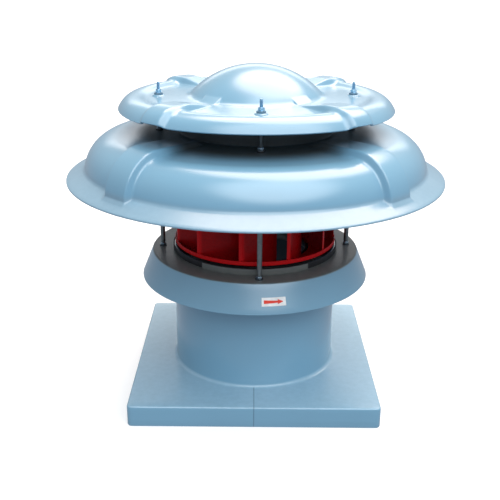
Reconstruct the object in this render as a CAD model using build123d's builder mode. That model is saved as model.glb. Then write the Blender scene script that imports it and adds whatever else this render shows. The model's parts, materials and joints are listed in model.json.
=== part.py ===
from build123d import *

import os
from math import asin, cos, degrees, radians, sin, sqrt

# Roof exhaust fan in moulded fibreglass. A square curb cap carries a round neck, and a flared weather
# collar sits round the top of the neck. Four tie rods stand on the collar and carry the motor plate,
# the wide hood and the top cap. A motor with its shaft down drives a centrifugal impeller, which
# draws air up through the neck and throws it out under the hood.
# Millimetres, +Z up, front towards -Y. The origin is the middle of the curb cap's bottom rim.

os.makedirs("parts", exist_ok=True)

# Curb cap and neck
BASE_SIDE = 600.0
BASE_HEIGHT = 53.0
BASE_WALL = 6.0
BASE_CORNER = 12.0
BASE_EDGE = 5.0
NECK_OUTER = 205.0
NECK_TOP = 364.0
NECK_FLARE = 18.0
LEDGE_INNER = 184.0
LEDGE_TOP = 316.0
LEDGE_THICKNESS = 6.0
GASKET_HEIGHT = 6.0
GASKET_WIDTH = 22.0

# Inlet nozzle
NOZZLE_SHEET = 2.0
NOZZLE_REACH = 198.5
THROAT_RADIUS = 131.0
THROAT_TOP = 353.0
BELL_RADIUS = 165.0
NOZZLE_SCREW_CIRCLE = 191.5

# Weather collar
SHELF_TOP = 352.0
SHELF_RIM = 259.0
SKIRT_RIM = 287.0
SKIRT_BOTTOM = 284.0
COLLAR_WALL = 5.0
COLLAR_BORE = 205.3
SEAL_OUTER = 207.2
COAMING_INNER = 207.4
COAMING_OUTER = 210.6
COAMING_TOP = 366.0
COAMING_HALF_ANGLE = 36.5
RING_LEG = 4.0
RING_REACH = 246.0
RING_DROP = 36.0
LABEL_WIDTH = 56.0
LABEL_HEIGHT = 20.0
LABEL_TURN = 9.0
LABEL_MIDDLE = 0.42
LABEL_SHEET = 0.6

# Tie rods, with M8 hardware. They stand a little off the square curb cap's middle lines.
ROD_COUNT = 4
ROD_TURN = 2.4
ROD_CIRCLE = 234.0
ROD_RADIUS = 4.0
ROD_BOTTOM = 331.0
ROD_TOP = 765.0
THREAD_BORE = 4.05
CLEAR_HOLE = 4.5
NUT_FLATS = 13.0
NUT_HEIGHT = 6.5
WASHER_RADIUS = 8.0
WIDE_WASHER_RADIUS = 9.5
WASHER_HEIGHT = 1.6
TUBE_RADIUS = 6.0
RUBBER_HEIGHT = 2.0
CAP_SEAL_HEIGHT = 4.0

# Motor plate
PLATE_RADIUS = 250.0
PLATE_BOTTOM = 512.0
PLATE_THICKNESS = 6.0
SPIGOT_RADIUS = 65.0

# Hood
HOOD_WALL = 5.0
BRIM_RADIUS = 460.0
BRIM_EDGE_Z = 545.0
FOOT_RADIUS = 418.0
FOOT_Z = 566.0
CROWN_RADIUS = 334.0
CROWN_Z = 645.0
CROWN_CENTRE_Z = 558.0
CROWN_REACH = 82.0
HOOD_FLAT_Z = 650.0
HOOD_FLAT_RADIUS = 260.0
HOOD_LIP_RADIUS = 187.0
HOOD_LIP_TOP = 675.0
HOOD_RIB_RISE = 16.0
HOOD_RIB_FOOT = 440.0
HOOD_RIB_START = 205.0

# Raised ribs: four on the hood's diagonals, and four on the top cap at this angle either side of its
# front-to-back line
HOOD_RIB_COUNT = 4
HOOD_RIB_TURN = 0.8
HOOD_RIB_WIDTH = 76.0
CAP_RIB_SPREAD = 41.2
CAP_RIB_WIDTH = 64.0

# Top cap
CAP_WALL = 5.0
CAP_RIM_RADIUS = 336.0
CAP_RIM_Z = 706.0
CAP_CREST_RADIUS = 288.0
CAP_CREST_Z = 738.0
CAP_PAN_Z = 733.0
CAP_PAN_RADIUS = 251.0
CAP_PAD_Z = 735.0
CAP_PAD_RADIUS = 14.0
CAP_PAD_DEPTH = 7.0
DOME_TOP = 808.0
DOME_RADIUS = 217.0
DOME_FILLET = 25.0
CAP_RIB_RISE = 10.0
CAP_RIB_REACH = 10.0
CAP_RIB_ANGLE = 43.5

# Impeller
IMPELLER_RADIUS = 202.5
SHROUD_BOTTOM = 371.6
SHROUD_LIP = 10.0
SHROUD_SHEET = 2.5
SHROUD_SLOPE = 0.285
EYE_RADIUS = 136.0
EYE_Z = 345.0
BACK_PLATE_TOP = 492.0
BACK_PLATE_SHEET = 3.0
BLADE_COUNT = 11
BLADE_SHEET = 4.5
BLADE_INNER = 139.0
BLADE_OUTER = 206.0
BLADE_WRAP = 32.5
FIRST_BLADE = -102.3
HUB_RADIUS = 28.0
HUB_FLANGE = 60.0
HUB_FLANGE_TOP = 500.0
HUB_BOTTOM = 452.0
HUB_TOP = 504.0
HUB_BOLT_CIRCLE = 46.0
HUB_BOLT_COUNT = 6

# Motor: its shaft points down, and its flange stands on the motor plate
SHAFT_END_RADIUS = 9.5
SHAFT_END_Z = 456.0
SHAFT_CORE_RADIUS = 14.0
FAN_SEAT_RADIUS = 8.0
SHIELD_HOLE = 10.5
KEY_WIDTH = 6.0
KEY_BOTTOM = 462.0
KEY_LENGTH = 38.0
BEARING_BORE = 10.0
BEARING_OUTER = 23.5
BEARING_WIDTH = 14.0
BEARING_PITCH = 16.75
GROOVE_RADIUS = 4.2
BALL_RADIUS = 3.97
BALL_COUNT = 8
LOWER_BEARING_Z = 520.0
UPPER_BEARING_Z = 668.0
FLANGE_RADIUS = 100.0
FLANGE_THICKNESS = 12.0
MOTOR_BOLT_CIRCLE = 82.5
BODY_RADIUS = 69.0
BODY_BORE = 62.0
BODY_BOTTOM = 548.0
BODY_TOP = 668.0
FIN_RADIUS = 77.0
FIN_WIDTH = 2.2
FIN_COUNT = 36
CORE_BOTTOM = 566.0
CORE_TOP = 646.0
ROTOR_RADIUS = 40.0
AIR_GAP = 0.4
WINDING_HEIGHT = 13.0
FAN_BOTTOM = 692.0
FAN_HEIGHT = 20.0
FAN_RADIUS = 62.0
FAN_BLADE_COUNT = 9
COWL_RADIUS = 79.5
COWL_SHEET = 1.5
COWL_EDGE = 8.0
COWL_BOTTOM = 652.0
COWL_TOP = 722.0
BOX_WIDTH = 90.0
BOX_HEIGHT = 84.0
BOX_DEPTH = 28.0
BOX_WALL = 3.0
BOX_FACE_Y = 78.0
BOX_Z = 606.0
LID_DEPTH = 6.0

plate_top = PLATE_BOTTOM + PLATE_THICKNESS
flange_top = plate_top + FLANGE_THICKNESS
deck_underside = BASE_HEIGHT - BASE_WALL
neck_bore = NECK_OUTER - BASE_WALL
blade_top = BACK_PLATE_TOP - BACK_PLATE_SHEET
bearing_levels = (LOWER_BEARING_Z, UPPER_BEARING_Z)


def save(piece, name):
    """Labels a finished piece and writes its STEP file."""
    piece.part.label = name
    export_step(piece.part, f"parts/{name}.step")


def polar(radius, turn):
    """A point in plan at this radius, this many degrees round from +X."""
    return (radius * cos(radians(turn)), radius * sin(radians(turn)))


def section(points):
    """A half section as a face in the XZ plane, from its (radius, height) corners."""
    with BuildSketch(Plane.XZ) as outline:
        with BuildLine():
            Polyline(*points, close=True)
        make_face()
    return outline.sketch


def rings(circle, count, start, radius, bore, bottom, height):
    """Equal discs on a circle of places, each with a hole if it has a bore."""
    with BuildPart() as pieces:
        with BuildSketch(Plane.XY.offset(bottom)):
            with PolarLocations(circle, count, start_angle=start):
                Circle(radius)
                if bore:
                    Circle(bore, mode=Mode.SUBTRACT)
        extrude(amount=height)
    return pieces


def nuts(circle, count, start, flats, bore, bottom, height):
    """Hexagon nuts on a circle of places."""
    with BuildPart() as pieces:
        with BuildSketch(Plane.XY.offset(bottom)):
            with PolarLocations(circle, count, start_angle=start):
                RegularPolygon(flats / 2, 6, major_radius=False)
                Circle(bore, mode=Mode.SUBTRACT)
        extrude(amount=height)
    return pieces


def bolts(circle, count, start, radius, flats, seat, head, tip):
    """Hexagon bolts: the head rises from its seat, or drops if head is negative, and the shank ends at tip."""
    with BuildPart() as pieces:
        with BuildSketch(Plane.XY.offset(seat)):
            with PolarLocations(circle, count, start_angle=start):
                RegularPolygon(flats / 2, 6, major_radius=False)
        extrude(amount=head)
        with BuildSketch(Plane.XY.offset(seat)):
            with PolarLocations(circle, count, start_angle=start):
                Circle(radius)
        extrude(amount=tip - seat)
    return pieces


# --- Curb cap: a square lid with a down-turned skirt, moulded in one with the round neck ---


def neck_section(inset):
    """Half section of the neck, filled to the axis, with its skin moved in by this much."""
    centre = (NECK_OUTER + NECK_FLARE, BASE_HEIGHT + NECK_FLARE)
    reach = NECK_FLARE + inset
    with BuildSketch(Plane.XZ) as outline:
        with BuildLine():
            CenterArc(centre, reach, 180, 90)
            Polyline(
                (centre[0], centre[1] - reach),
                (centre[0], centre[1] - reach - 1),
                (0, centre[1] - reach - 1),
                (0, NECK_TOP),
                (NECK_OUTER - inset, NECK_TOP),
                (NECK_OUTER - inset, centre[1]),
            )
        make_face()
    return outline.sketch


recess_side = BASE_SIDE - 2 * BASE_WALL
ledge_bottom = LEDGE_TOP - LEDGE_THICKNESS
with BuildPart() as base_moulding:
    with BuildSketch():
        RectangleRounded(BASE_SIDE, BASE_SIDE, BASE_CORNER)
    extrude(amount=BASE_HEIGHT)
    fillet(base_moulding.faces().sort_by(Axis.Z)[-1].edges(), BASE_EDGE)
    revolve(neck_section(0), axis=Axis.Z)
    with BuildSketch():
        RectangleRounded(recess_side, recess_side, BASE_CORNER - BASE_WALL)
    extrude(amount=deck_underside, mode=Mode.SUBTRACT)
    revolve(neck_section(BASE_WALL), axis=Axis.Z, mode=Mode.SUBTRACT)
    with BuildSketch(Plane.XY.offset(ledge_bottom)):
        Circle(NECK_OUTER - 1)
        Circle(LEDGE_INNER, mode=Mode.SUBTRACT)
        with PolarLocations(NOZZLE_SCREW_CIRCLE, 8, start_angle=22.5):
            Circle(3.05, mode=Mode.SUBTRACT)
    extrude(amount=LEDGE_THICKNESS)
save(base_moulding, "base_moulding")

gasket_side = recess_side - 1
with BuildPart() as curb_gasket:
    with BuildSketch(Plane.XY.offset(deck_underside - GASKET_HEIGHT)):
        RectangleRounded(gasket_side, gasket_side, BASE_CORNER - BASE_WALL)
        inner_side = gasket_side - 2 * GASKET_WIDTH
        RectangleRounded(inner_side, inner_side, BASE_WALL, mode=Mode.SUBTRACT)
    extrude(amount=GASKET_HEIGHT)
save(curb_gasket, "curb_gasket")

# --- Inlet nozzle: a flat ring on the neck's ledge, turned up into a bell mouth ---

nozzle_top = LEDGE_TOP + NOZZLE_SHEET
bell_width = BELL_RADIUS - THROAT_RADIUS
bell_height = THROAT_TOP - nozzle_top
with BuildPart() as inlet_nozzle:
    with BuildSketch(Plane.XZ):
        with BuildLine():
            for sheet in (0, NOZZLE_SHEET):
                EllipticalCenterArc(
                    (BELL_RADIUS, THROAT_TOP),
                    bell_width + sheet,
                    bell_height + sheet,
                    start_angle=180,
                    arc_size=90,
                )
            Line((THROAT_RADIUS, THROAT_TOP), (THROAT_RADIUS - NOZZLE_SHEET, THROAT_TOP))
            Polyline(
                (BELL_RADIUS, nozzle_top),
                (NOZZLE_REACH, nozzle_top),
                (NOZZLE_REACH, LEDGE_TOP),
                (BELL_RADIUS, LEDGE_TOP),
            )
        make_face()
    revolve(axis=Axis.Z)
    with BuildSketch(Plane.XY.offset(LEDGE_TOP)):
        with PolarLocations(NOZZLE_SCREW_CIRCLE, 8, start_angle=22.5):
            Circle(3.2)
    extrude(amount=NOZZLE_SHEET, mode=Mode.SUBTRACT)
save(inlet_nozzle, "inlet_nozzle")

save(bolts(NOZZLE_SCREW_CIRCLE, 8, 22.5, 3.0, 10, nozzle_top, 4, ledge_bottom + 0.5), "nozzle_screws")

# --- Weather collar: a flared skirt, a flat shelf and an upstand at the front and the back ---

flare_run = SKIRT_RIM - SHELF_RIM
flare_drop = SHELF_TOP - SKIRT_BOTTOM
flare_length = sqrt(flare_run**2 + flare_drop**2)
wall_across = COLLAR_WALL * flare_length / flare_drop
shelf_under = SHELF_TOP - COLLAR_WALL
skirt_inside = SKIRT_RIM - wall_across
with BuildPart() as weather_collar:
    revolve(
        section(
            [
                (COLLAR_BORE, shelf_under),
                (skirt_inside - flare_run * (1 - COLLAR_WALL / flare_drop), shelf_under),
                (skirt_inside, SKIRT_BOTTOM),
                (SKIRT_RIM, SKIRT_BOTTOM),
                (SHELF_RIM, SHELF_TOP),
                (COLLAR_BORE, SHELF_TOP),
            ]
        ),
        axis=Axis.Z,
    )
    shelf_edges = weather_collar.faces().sort_by(Axis.Z)[-1].edges().filter_by(GeomType.CIRCLE)
    fillet(shelf_edges.sort_by(SortBy.RADIUS)[-1], COLLAR_WALL - 1)
    with BuildSketch(Plane.XY.offset(SHELF_TOP)):
        with BuildLine():
            for facing in (-90, 90):
                middle = (COAMING_INNER + COAMING_OUTER) / 2
                CenterArc((0, 0), middle, facing - COAMING_HALF_ANGLE, 2 * COAMING_HALF_ANGLE)
        trace(line_width=COAMING_OUTER - COAMING_INNER)
    extrude(amount=COAMING_TOP - SHELF_TOP)
    with BuildSketch(Plane.XY.offset(shelf_under)):
        with PolarLocations(ROD_CIRCLE, ROD_COUNT, start_angle=ROD_TURN):
            Circle(CLEAR_HOLE)
    extrude(amount=COLLAR_WALL, mode=Mode.SUBTRACT)
save(weather_collar, "weather_collar")

save(rings(0, 1, 0, SEAL_OUTER, COLLAR_BORE, SHELF_TOP, COAMING_TOP - SHELF_TOP), "neck_seal_ring")

ring_inner = COLLAR_BORE
ring_face = ring_inner + RING_LEG
with BuildPart() as collar_angle_ring:
    revolve(
        section(
            [
                (ring_inner, shelf_under - RING_DROP),
                (ring_face, shelf_under - RING_DROP),
                (ring_face, shelf_under - RING_LEG),
                (RING_REACH, shelf_under - RING_LEG),
                (RING_REACH, shelf_under),
                (ring_inner, shelf_under),
            ]
        ),
        axis=Axis.Z,
    )
    with BuildSketch(Plane.XY.offset(shelf_under - RING_LEG)):
        with PolarLocations(ROD_CIRCLE, ROD_COUNT, start_angle=ROD_TURN):
            Circle(CLEAR_HOLE)
    extrude(amount=RING_LEG, mode=Mode.SUBTRACT)
save(collar_angle_ring, "collar_angle_ring")

with BuildPart() as ring_screws:
    for k in range(8):
        x, y = polar(1, 22.5 + 45 * k)
        seat = Plane(
            origin=(ring_face * x, ring_face * y, shelf_under - RING_DROP / 2), z_dir=(x, y, 0)
        )
        with BuildSketch(seat):
            RegularPolygon(5, 6, major_radius=False)
        extrude(amount=4)
save(ring_screws, "ring_screws")

# --- Direction label: a thin plate that follows the collar's flare ---

with BuildPart() as direction_label:
    half = LABEL_HEIGHT / 2 / flare_length
    corners = [
        (SKIRT_RIM - flare_run * up + out, SKIRT_BOTTOM + flare_drop * up)
        for up, out in (
            (LABEL_MIDDLE - half, 0),
            (LABEL_MIDDLE - half, LABEL_SHEET),
            (LABEL_MIDDLE + half, LABEL_SHEET),
            (LABEL_MIDDLE + half, 0),
        )
    ]
    label_sweep = degrees(LABEL_WIDTH / (SKIRT_RIM - flare_run * LABEL_MIDDLE))
    x, y = polar(1, LABEL_TURN - 90 - label_sweep / 2)
    with BuildSketch(Plane(origin=(0, 0, 0), x_dir=(x, y, 0), z_dir=(y, -x, 0))):
        with BuildLine():
            Polyline(*corners, close=True)
        make_face()
    revolve(axis=Axis.Z, revolution_arc=label_sweep)
save(direction_label, "direction_label")

# --- Tie rods, spacer tubes, washers and nuts ---

with BuildPart() as tie_rods:
    with BuildSketch(Plane.XY.offset(ROD_BOTTOM)):
        with PolarLocations(ROD_CIRCLE, ROD_COUNT, start_angle=ROD_TURN):
            Circle(ROD_RADIUS)
    extrude(amount=ROD_TOP - ROD_BOTTOM)
    chamfer(tie_rods.faces().filter_by(Axis.Z).edges(), 1)
save(tie_rods, "tie_rods")

shelf_nut_z = SHELF_TOP + WASHER_HEIGHT
tube_bottom = shelf_nut_z + NUT_HEIGHT
hood_seat = HOOD_FLAT_Z - HOOD_WALL
ring_washer_z = shelf_under - RING_LEG - WASHER_HEIGHT
hood_washer_z = HOOD_FLAT_Z + RUBBER_HEIGHT
hood_nut_z = hood_washer_z + WASHER_HEIGHT
cap_underside = CAP_PAD_Z - CAP_PAD_DEPTH
cap_support_z = cap_underside - WASHER_HEIGHT
cap_washer_z = CAP_PAD_Z + CAP_SEAL_HEIGHT
cap_nut_z = cap_washer_z + WASHER_HEIGHT

rod_rings = {
    "shelf_washers": (WIDE_WASHER_RADIUS, THREAD_BORE, SHELF_TOP, WASHER_HEIGHT),
    "under_shelf_washers": (WIDE_WASHER_RADIUS, THREAD_BORE, ring_washer_z, WASHER_HEIGHT),
    "lower_spacer_tubes": (TUBE_RADIUS, CLEAR_HOLE, tube_bottom, PLATE_BOTTOM - tube_bottom),
    "upper_spacer_tubes": (TUBE_RADIUS, CLEAR_HOLE, plate_top, hood_seat - plate_top),
    "hood_rubber_washers": (WIDE_WASHER_RADIUS, THREAD_BORE, HOOD_FLAT_Z, RUBBER_HEIGHT),
    "hood_washers": (WASHER_RADIUS, THREAD_BORE, hood_washer_z, WASHER_HEIGHT),
    "cap_support_washers": (WIDE_WASHER_RADIUS, THREAD_BORE, cap_support_z, WASHER_HEIGHT),
    "cap_washers": (WASHER_RADIUS, THREAD_BORE, cap_washer_z, WASHER_HEIGHT),
}
for name, (radius, bore, bottom, height) in rod_rings.items():
    save(rings(ROD_CIRCLE, ROD_COUNT, ROD_TURN, radius, bore, bottom, height), name)

rod_nuts = {
    "shelf_nuts": shelf_nut_z,
    "under_shelf_nuts": ring_washer_z - NUT_HEIGHT,
    "hood_nuts": hood_nut_z,
    "cap_support_nuts": cap_support_z - NUT_HEIGHT,
    "cap_nuts": cap_nut_z,
}
for name, bottom in rod_nuts.items():
    save(nuts(ROD_CIRCLE, ROD_COUNT, ROD_TURN, NUT_FLATS, THREAD_BORE, bottom, NUT_HEIGHT), name)

with BuildPart() as cap_seal_washers:
    with BuildSketch(Plane.XY.offset(CAP_PAD_Z)):
        with PolarLocations(ROD_CIRCLE, ROD_COUNT, start_angle=ROD_TURN):
            Circle(WIDE_WASHER_RADIUS + 1)
    extrude(amount=CAP_SEAL_HEIGHT)
    chamfer(cap_seal_washers.faces().group_by(Axis.Z)[-1].edges(), 2)
    with BuildSketch(Plane.XY.offset(CAP_PAD_Z)):
        with PolarLocations(ROD_CIRCLE, ROD_COUNT, start_angle=ROD_TURN):
            Circle(THREAD_BORE)
    extrude(amount=CAP_SEAL_HEIGHT, mode=Mode.SUBTRACT)
save(cap_seal_washers, "cap_seal_washers")

# --- Motor plate: a steel disc clamped between the spacer tubes ---

with BuildPart() as motor_plate:
    with BuildSketch(Plane.XY.offset(PLATE_BOTTOM)):
        Circle(PLATE_RADIUS)
        Circle(SPIGOT_RADIUS, mode=Mode.SUBTRACT)
        with PolarLocations(ROD_CIRCLE, ROD_COUNT, start_angle=ROD_TURN):
            Circle(CLEAR_HOLE, mode=Mode.SUBTRACT)
        with PolarLocations(MOTOR_BOLT_CIRCLE, 4, start_angle=45):
            Circle(5.5, mode=Mode.SUBTRACT)
    extrude(amount=PLATE_THICKNESS)
save(motor_plate, "motor_plate")

# --- Hood: a half-round ring with a brim below it and four hollow ribs raised on its diagonals ---


def shoulder(angle, rise):
    """A point of the hood's round shoulder, raised off its skin. 90 degrees is the crown."""
    return (
        CROWN_RADIUS + (CROWN_REACH + rise) * cos(radians(angle)),
        CROWN_CENTRE_Z + (CROWN_Z - CROWN_CENTRE_Z + rise) * sin(radians(angle)),
    )


def brim_z(radius):
    """Height of the brim's top face, which slopes straight from the foot to the edge."""
    return FOOT_Z - (radius - FOOT_RADIUS) * (FOOT_Z - BRIM_EDGE_Z) / (BRIM_RADIUS - FOOT_RADIUS)


def hood_skin(inset):
    """The hood's outer skin from the lip of its opening to the brim's edge, moved in by this much."""
    flat_z = HOOD_FLAT_Z - inset
    with BuildLine() as skin:
        Polyline(
            (HOOD_LIP_RADIUS - inset, HOOD_LIP_TOP),
            (HOOD_LIP_RADIUS - inset, flat_z),
            (HOOD_FLAT_RADIUS, flat_z),
            shoulder(90, -inset),
        )
        ThreePointArc(shoulder(90, -inset), shoulder(48, -inset), shoulder(8, -inset))
        Polyline(
            shoulder(8, -inset),
            (FOOT_RADIUS - inset * 0.8, FOOT_Z - inset * 0.8),
            (BRIM_RADIUS, BRIM_EDGE_Z - inset * 0.8),
        )
    return skin.edges()


def hood_rib(rise, sink, foot, start):
    """Side view of a rib, from this far above the hood's skin to this far below it."""
    with BuildSketch(Plane.XZ) as outline:
        with BuildLine():
            Polyline((start, HOOD_FLAT_Z - sink), (start + 20, CROWN_Z + rise), shoulder(90, rise))
            ThreePointArc(shoulder(90, rise), shoulder(48, rise), shoulder(6, rise))
            Polyline(
                shoulder(6, rise),
                (foot, brim_z(foot) - sink),
                (FOOT_RADIUS - sink, FOOT_Z - sink),
                shoulder(8, -sink),
            )
            ThreePointArc(shoulder(8, -sink), shoulder(48, -sink), shoulder(90, -sink))
            Polyline(
                shoulder(90, -sink), (HOOD_FLAT_RADIUS, HOOD_FLAT_Z - sink), (start, HOOD_FLAT_Z - sink)
            )
        make_face()
    return outline.sketch


hood_rib_turns = [HOOD_RIB_TURN + 45 + 360 / HOOD_RIB_COUNT * k for k in range(HOOD_RIB_COUNT)]
hood_ribs = (
    (HOOD_RIB_WIDTH / 2, hood_rib(HOOD_RIB_RISE, 2.5, HOOD_RIB_FOOT, HOOD_RIB_START), Mode.ADD),
    (
        HOOD_RIB_WIDTH / 2 - HOOD_WALL,
        hood_rib(HOOD_RIB_RISE - HOOD_WALL, HOOD_WALL + 2, HOOD_RIB_FOOT - HOOD_WALL, HOOD_RIB_START + 8),
        Mode.SUBTRACT,
    ),
)
with BuildPart() as hood:
    with BuildSketch(Plane.XZ):
        with BuildLine():
            add(hood_skin(0))
            add(hood_skin(HOOD_WALL))
            Line((HOOD_LIP_RADIUS, HOOD_LIP_TOP), (HOOD_LIP_RADIUS - HOOD_WALL, HOOD_LIP_TOP))
            Line((BRIM_RADIUS, BRIM_EDGE_Z), (BRIM_RADIUS, BRIM_EDGE_Z - HOOD_WALL * 0.8))
        make_face()
    revolve(axis=Axis.Z)
    for half_width, outline, mode in hood_ribs:
        for turn in hood_rib_turns:
            extrude(outline.rotate(Axis.Z, turn), amount=half_width, both=True, mode=mode)
    with BuildSketch(Plane.XY.offset(hood_seat)):
        with PolarLocations(ROD_CIRCLE, ROD_COUNT, start_angle=ROD_TURN):
            Circle(CLEAR_HOLE)
    extrude(amount=HOOD_WALL, mode=Mode.SUBTRACT)
save(hood, "hood")

# --- Top cap: a dome in a shallow pan with a rolled-down rim and four hollow ribs on its diagonals ---

dome_centre = DOME_TOP - DOME_RADIUS
fillet_z = CAP_PAN_Z + DOME_FILLET
fillet_radius = sqrt((DOME_RADIUS + DOME_FILLET) ** 2 - (fillet_z - dome_centre) ** 2)
foot_angle = degrees(asin(fillet_radius / (DOME_RADIUS + DOME_FILLET)))
ROLL_END = (0.4, -1)


def dome_point(angle, inset):
    """A point of the dome's section, at this angle from its top."""
    reach = DOME_RADIUS - inset
    return (reach * sin(radians(angle)), dome_centre + reach * cos(radians(angle)))


def pan_skin(inset):
    """The cap's skin from the foot of the dome to the rim, moved in by this much."""
    pan_z = CAP_PAN_Z - inset
    with BuildLine() as skin:
        CenterArc((fillet_radius, fillet_z), DOME_FILLET + inset, 270 - foot_angle, foot_angle)
        Line((fillet_radius, pan_z), (CAP_PAN_RADIUS, pan_z))
        Spline(
            (CAP_PAN_RADIUS, pan_z),
            (CAP_CREST_RADIUS, CAP_CREST_Z - inset),
            (CAP_RIM_RADIUS - inset, CAP_RIM_Z),
            tangents=((1, 0), ROLL_END),
        )
    return skin.edges()


def cap_rib(inset, sink):
    """Side view of a cap rib, its top moved in by inset, its underside this far below the pan's skin."""
    start = dome_point(CAP_RIB_ANGLE, 1)
    start = (start[0] + 1.6 * inset, start[1] - 1.2 * inset)
    crest_z = CAP_CREST_Z + CAP_RIB_RISE - inset
    rim = (CAP_RIM_RADIUS + CAP_RIB_REACH - inset, CAP_RIM_Z)
    with BuildSketch(Plane.XZ) as outline:
        with BuildLine():
            add(pan_skin(sink))
            Line(dome_point(foot_angle, sink), start)
            Line(start, (CAP_CREST_RADIUS - 20, crest_z))
            Spline(
                (CAP_CREST_RADIUS - 20, crest_z),
                (CAP_CREST_RADIUS + 6, crest_z - 1),
                rim,
                tangents=((1, 0), ROLL_END),
            )
            Line(rim, (CAP_RIM_RADIUS - sink, CAP_RIM_Z))
        make_face()
    return outline.sketch


cap_rib_turns = [facing + side for facing in (90, 270) for side in (-CAP_RIB_SPREAD, CAP_RIB_SPREAD)]
cap_ribs = (
    (CAP_RIB_WIDTH / 2, cap_rib(0, CAP_WALL - 1), Mode.ADD),
    (CAP_RIB_WIDTH / 2 - CAP_WALL, cap_rib(CAP_WALL, CAP_WALL + 2), Mode.SUBTRACT),
)
with BuildPart() as top_cap:
    with BuildSketch(Plane.XZ):
        with BuildLine():
            for inset in (0, CAP_WALL):
                CenterArc((0, dome_centre), DOME_RADIUS - inset, 90 - foot_angle, foot_angle)
                add(pan_skin(inset))
            Line((0, DOME_TOP), (0, DOME_TOP - CAP_WALL))
            Line((CAP_RIM_RADIUS, CAP_RIM_Z), (CAP_RIM_RADIUS - CAP_WALL, CAP_RIM_Z))
        make_face()
    revolve(axis=Axis.Z)
    for half_width, outline, mode in cap_ribs:
        for turn in cap_rib_turns:
            extrude(outline.rotate(Axis.Z, turn), amount=half_width, both=True, mode=mode)
    with BuildSketch(Plane.XY.offset(cap_underside)):
        with PolarLocations(ROD_CIRCLE, ROD_COUNT, start_angle=ROD_TURN):
            Circle(CAP_PAD_RADIUS)
    extrude(amount=CAP_PAD_DEPTH)
    with BuildSketch(Plane.XY.offset(cap_underside)):
        with PolarLocations(ROD_CIRCLE, ROD_COUNT, start_angle=ROD_TURN):
            Circle(CLEAR_HOLE)
    extrude(amount=CAP_PAD_DEPTH, mode=Mode.SUBTRACT)
save(top_cap, "top_cap")

# --- Impeller: back plate, backward-curved blades, dished front shroud, and a hub on the shaft ---

with BuildPart() as impeller_back_plate:
    with BuildSketch(Plane.XY.offset(blade_top)):
        Circle(IMPELLER_RADIUS)
        Circle(HUB_RADIUS, mode=Mode.SUBTRACT)
        with PolarLocations(HUB_BOLT_CIRCLE, HUB_BOLT_COUNT):
            Circle(3.2, mode=Mode.SUBTRACT)
    extrude(amount=BACK_PLATE_SHEET)
save(impeller_back_plate, "impeller_back_plate")

lip_inner = IMPELLER_RADIUS - SHROUD_SHEET
eye_outer = EYE_RADIUS + SHROUD_SHEET


def shroud_top(radius):
    """Height of the dished shroud's upper face, which falls towards the eye."""
    return SHROUD_BOTTOM + SHROUD_SHEET - SHROUD_SLOPE * (lip_inner - radius)


with BuildPart() as impeller_front_shroud:
    revolve(
        section(
            [
                (IMPELLER_RADIUS, SHROUD_BOTTOM),
                (IMPELLER_RADIUS, SHROUD_BOTTOM + SHROUD_LIP),
                (lip_inner, SHROUD_BOTTOM + SHROUD_LIP),
                (lip_inner, shroud_top(lip_inner)),
                (EYE_RADIUS, shroud_top(EYE_RADIUS)),
                (EYE_RADIUS, EYE_Z),
                (eye_outer, EYE_Z),
                (eye_outer, shroud_top(eye_outer) - SHROUD_SHEET),
                (lip_inner, SHROUD_BOTTOM),
            ]
        ),
        axis=Axis.Z,
    )
save(impeller_front_shroud, "impeller_front_shroud")

with BuildPart() as impeller_blades:
    with BuildSketch(Plane.XY.offset(EYE_Z)):
        with BuildLine():
            for k in range(BLADE_COUNT):
                tip = FIRST_BLADE + 360 / BLADE_COUNT * k
                ThreePointArc(
                    polar(BLADE_OUTER, tip),
                    polar((BLADE_OUTER + BLADE_INNER) / 2, tip + 0.41 * BLADE_WRAP),
                    polar(BLADE_INNER, tip + BLADE_WRAP),
                )
        trace(line_width=BLADE_SHEET)
    extrude(amount=blade_top - EYE_Z)
    revolve(
        section(
            [
                (EYE_RADIUS, shroud_top(EYE_RADIUS)),
                (lip_inner, shroud_top(lip_inner)),
                (lip_inner, blade_top),
                (EYE_RADIUS, blade_top),
            ]
        ),
        axis=Axis.Z,
        mode=Mode.INTERSECT,
    )
save(impeller_blades, "impeller_blades")

with BuildPart() as impeller_hub:
    revolve(
        section(
            [
                (SHAFT_END_RADIUS, HUB_BOTTOM),
                (HUB_RADIUS, HUB_BOTTOM),
                (HUB_RADIUS, BACK_PLATE_TOP),
                (HUB_FLANGE, BACK_PLATE_TOP),
                (HUB_FLANGE, HUB_FLANGE_TOP),
                (HUB_RADIUS, HUB_FLANGE_TOP),
                (HUB_RADIUS, HUB_TOP),
                (SHAFT_END_RADIUS, HUB_TOP),
            ]
        ),
        axis=Axis.Z,
    )
    with BuildSketch(Plane.XY.offset(HUB_BOTTOM)):
        with Locations((SHAFT_END_RADIUS, 0)):
            Rectangle(KEY_WIDTH, KEY_WIDTH)
    extrude(amount=HUB_TOP - HUB_BOTTOM, mode=Mode.SUBTRACT)
    with BuildSketch(Plane.XY.offset(BACK_PLATE_TOP)):
        with PolarLocations(HUB_BOLT_CIRCLE, HUB_BOLT_COUNT):
            Circle(3.2)
    extrude(amount=HUB_FLANGE_TOP - BACK_PLATE_TOP, mode=Mode.SUBTRACT)
save(impeller_hub, "impeller_hub")

save(bolts(HUB_BOLT_CIRCLE, HUB_BOLT_COUNT, 0, 3.0, 10, HUB_FLANGE_TOP, 4, blade_top - 7), "hub_bolts")
save(nuts(HUB_BOLT_CIRCLE, HUB_BOLT_COUNT, 0, 10, 3.05, blade_top - 5, 5), "hub_nuts")

hub_washer_z = HUB_BOTTOM - 3
save(rings(0, 1, 0, 17, 4.2, hub_washer_z, 3), "hub_retaining_washer")
save(bolts(0, 1, 0, 4.0, 13, hub_washer_z, -5.3, SHAFT_END_Z + 20), "hub_retaining_screw")

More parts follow.
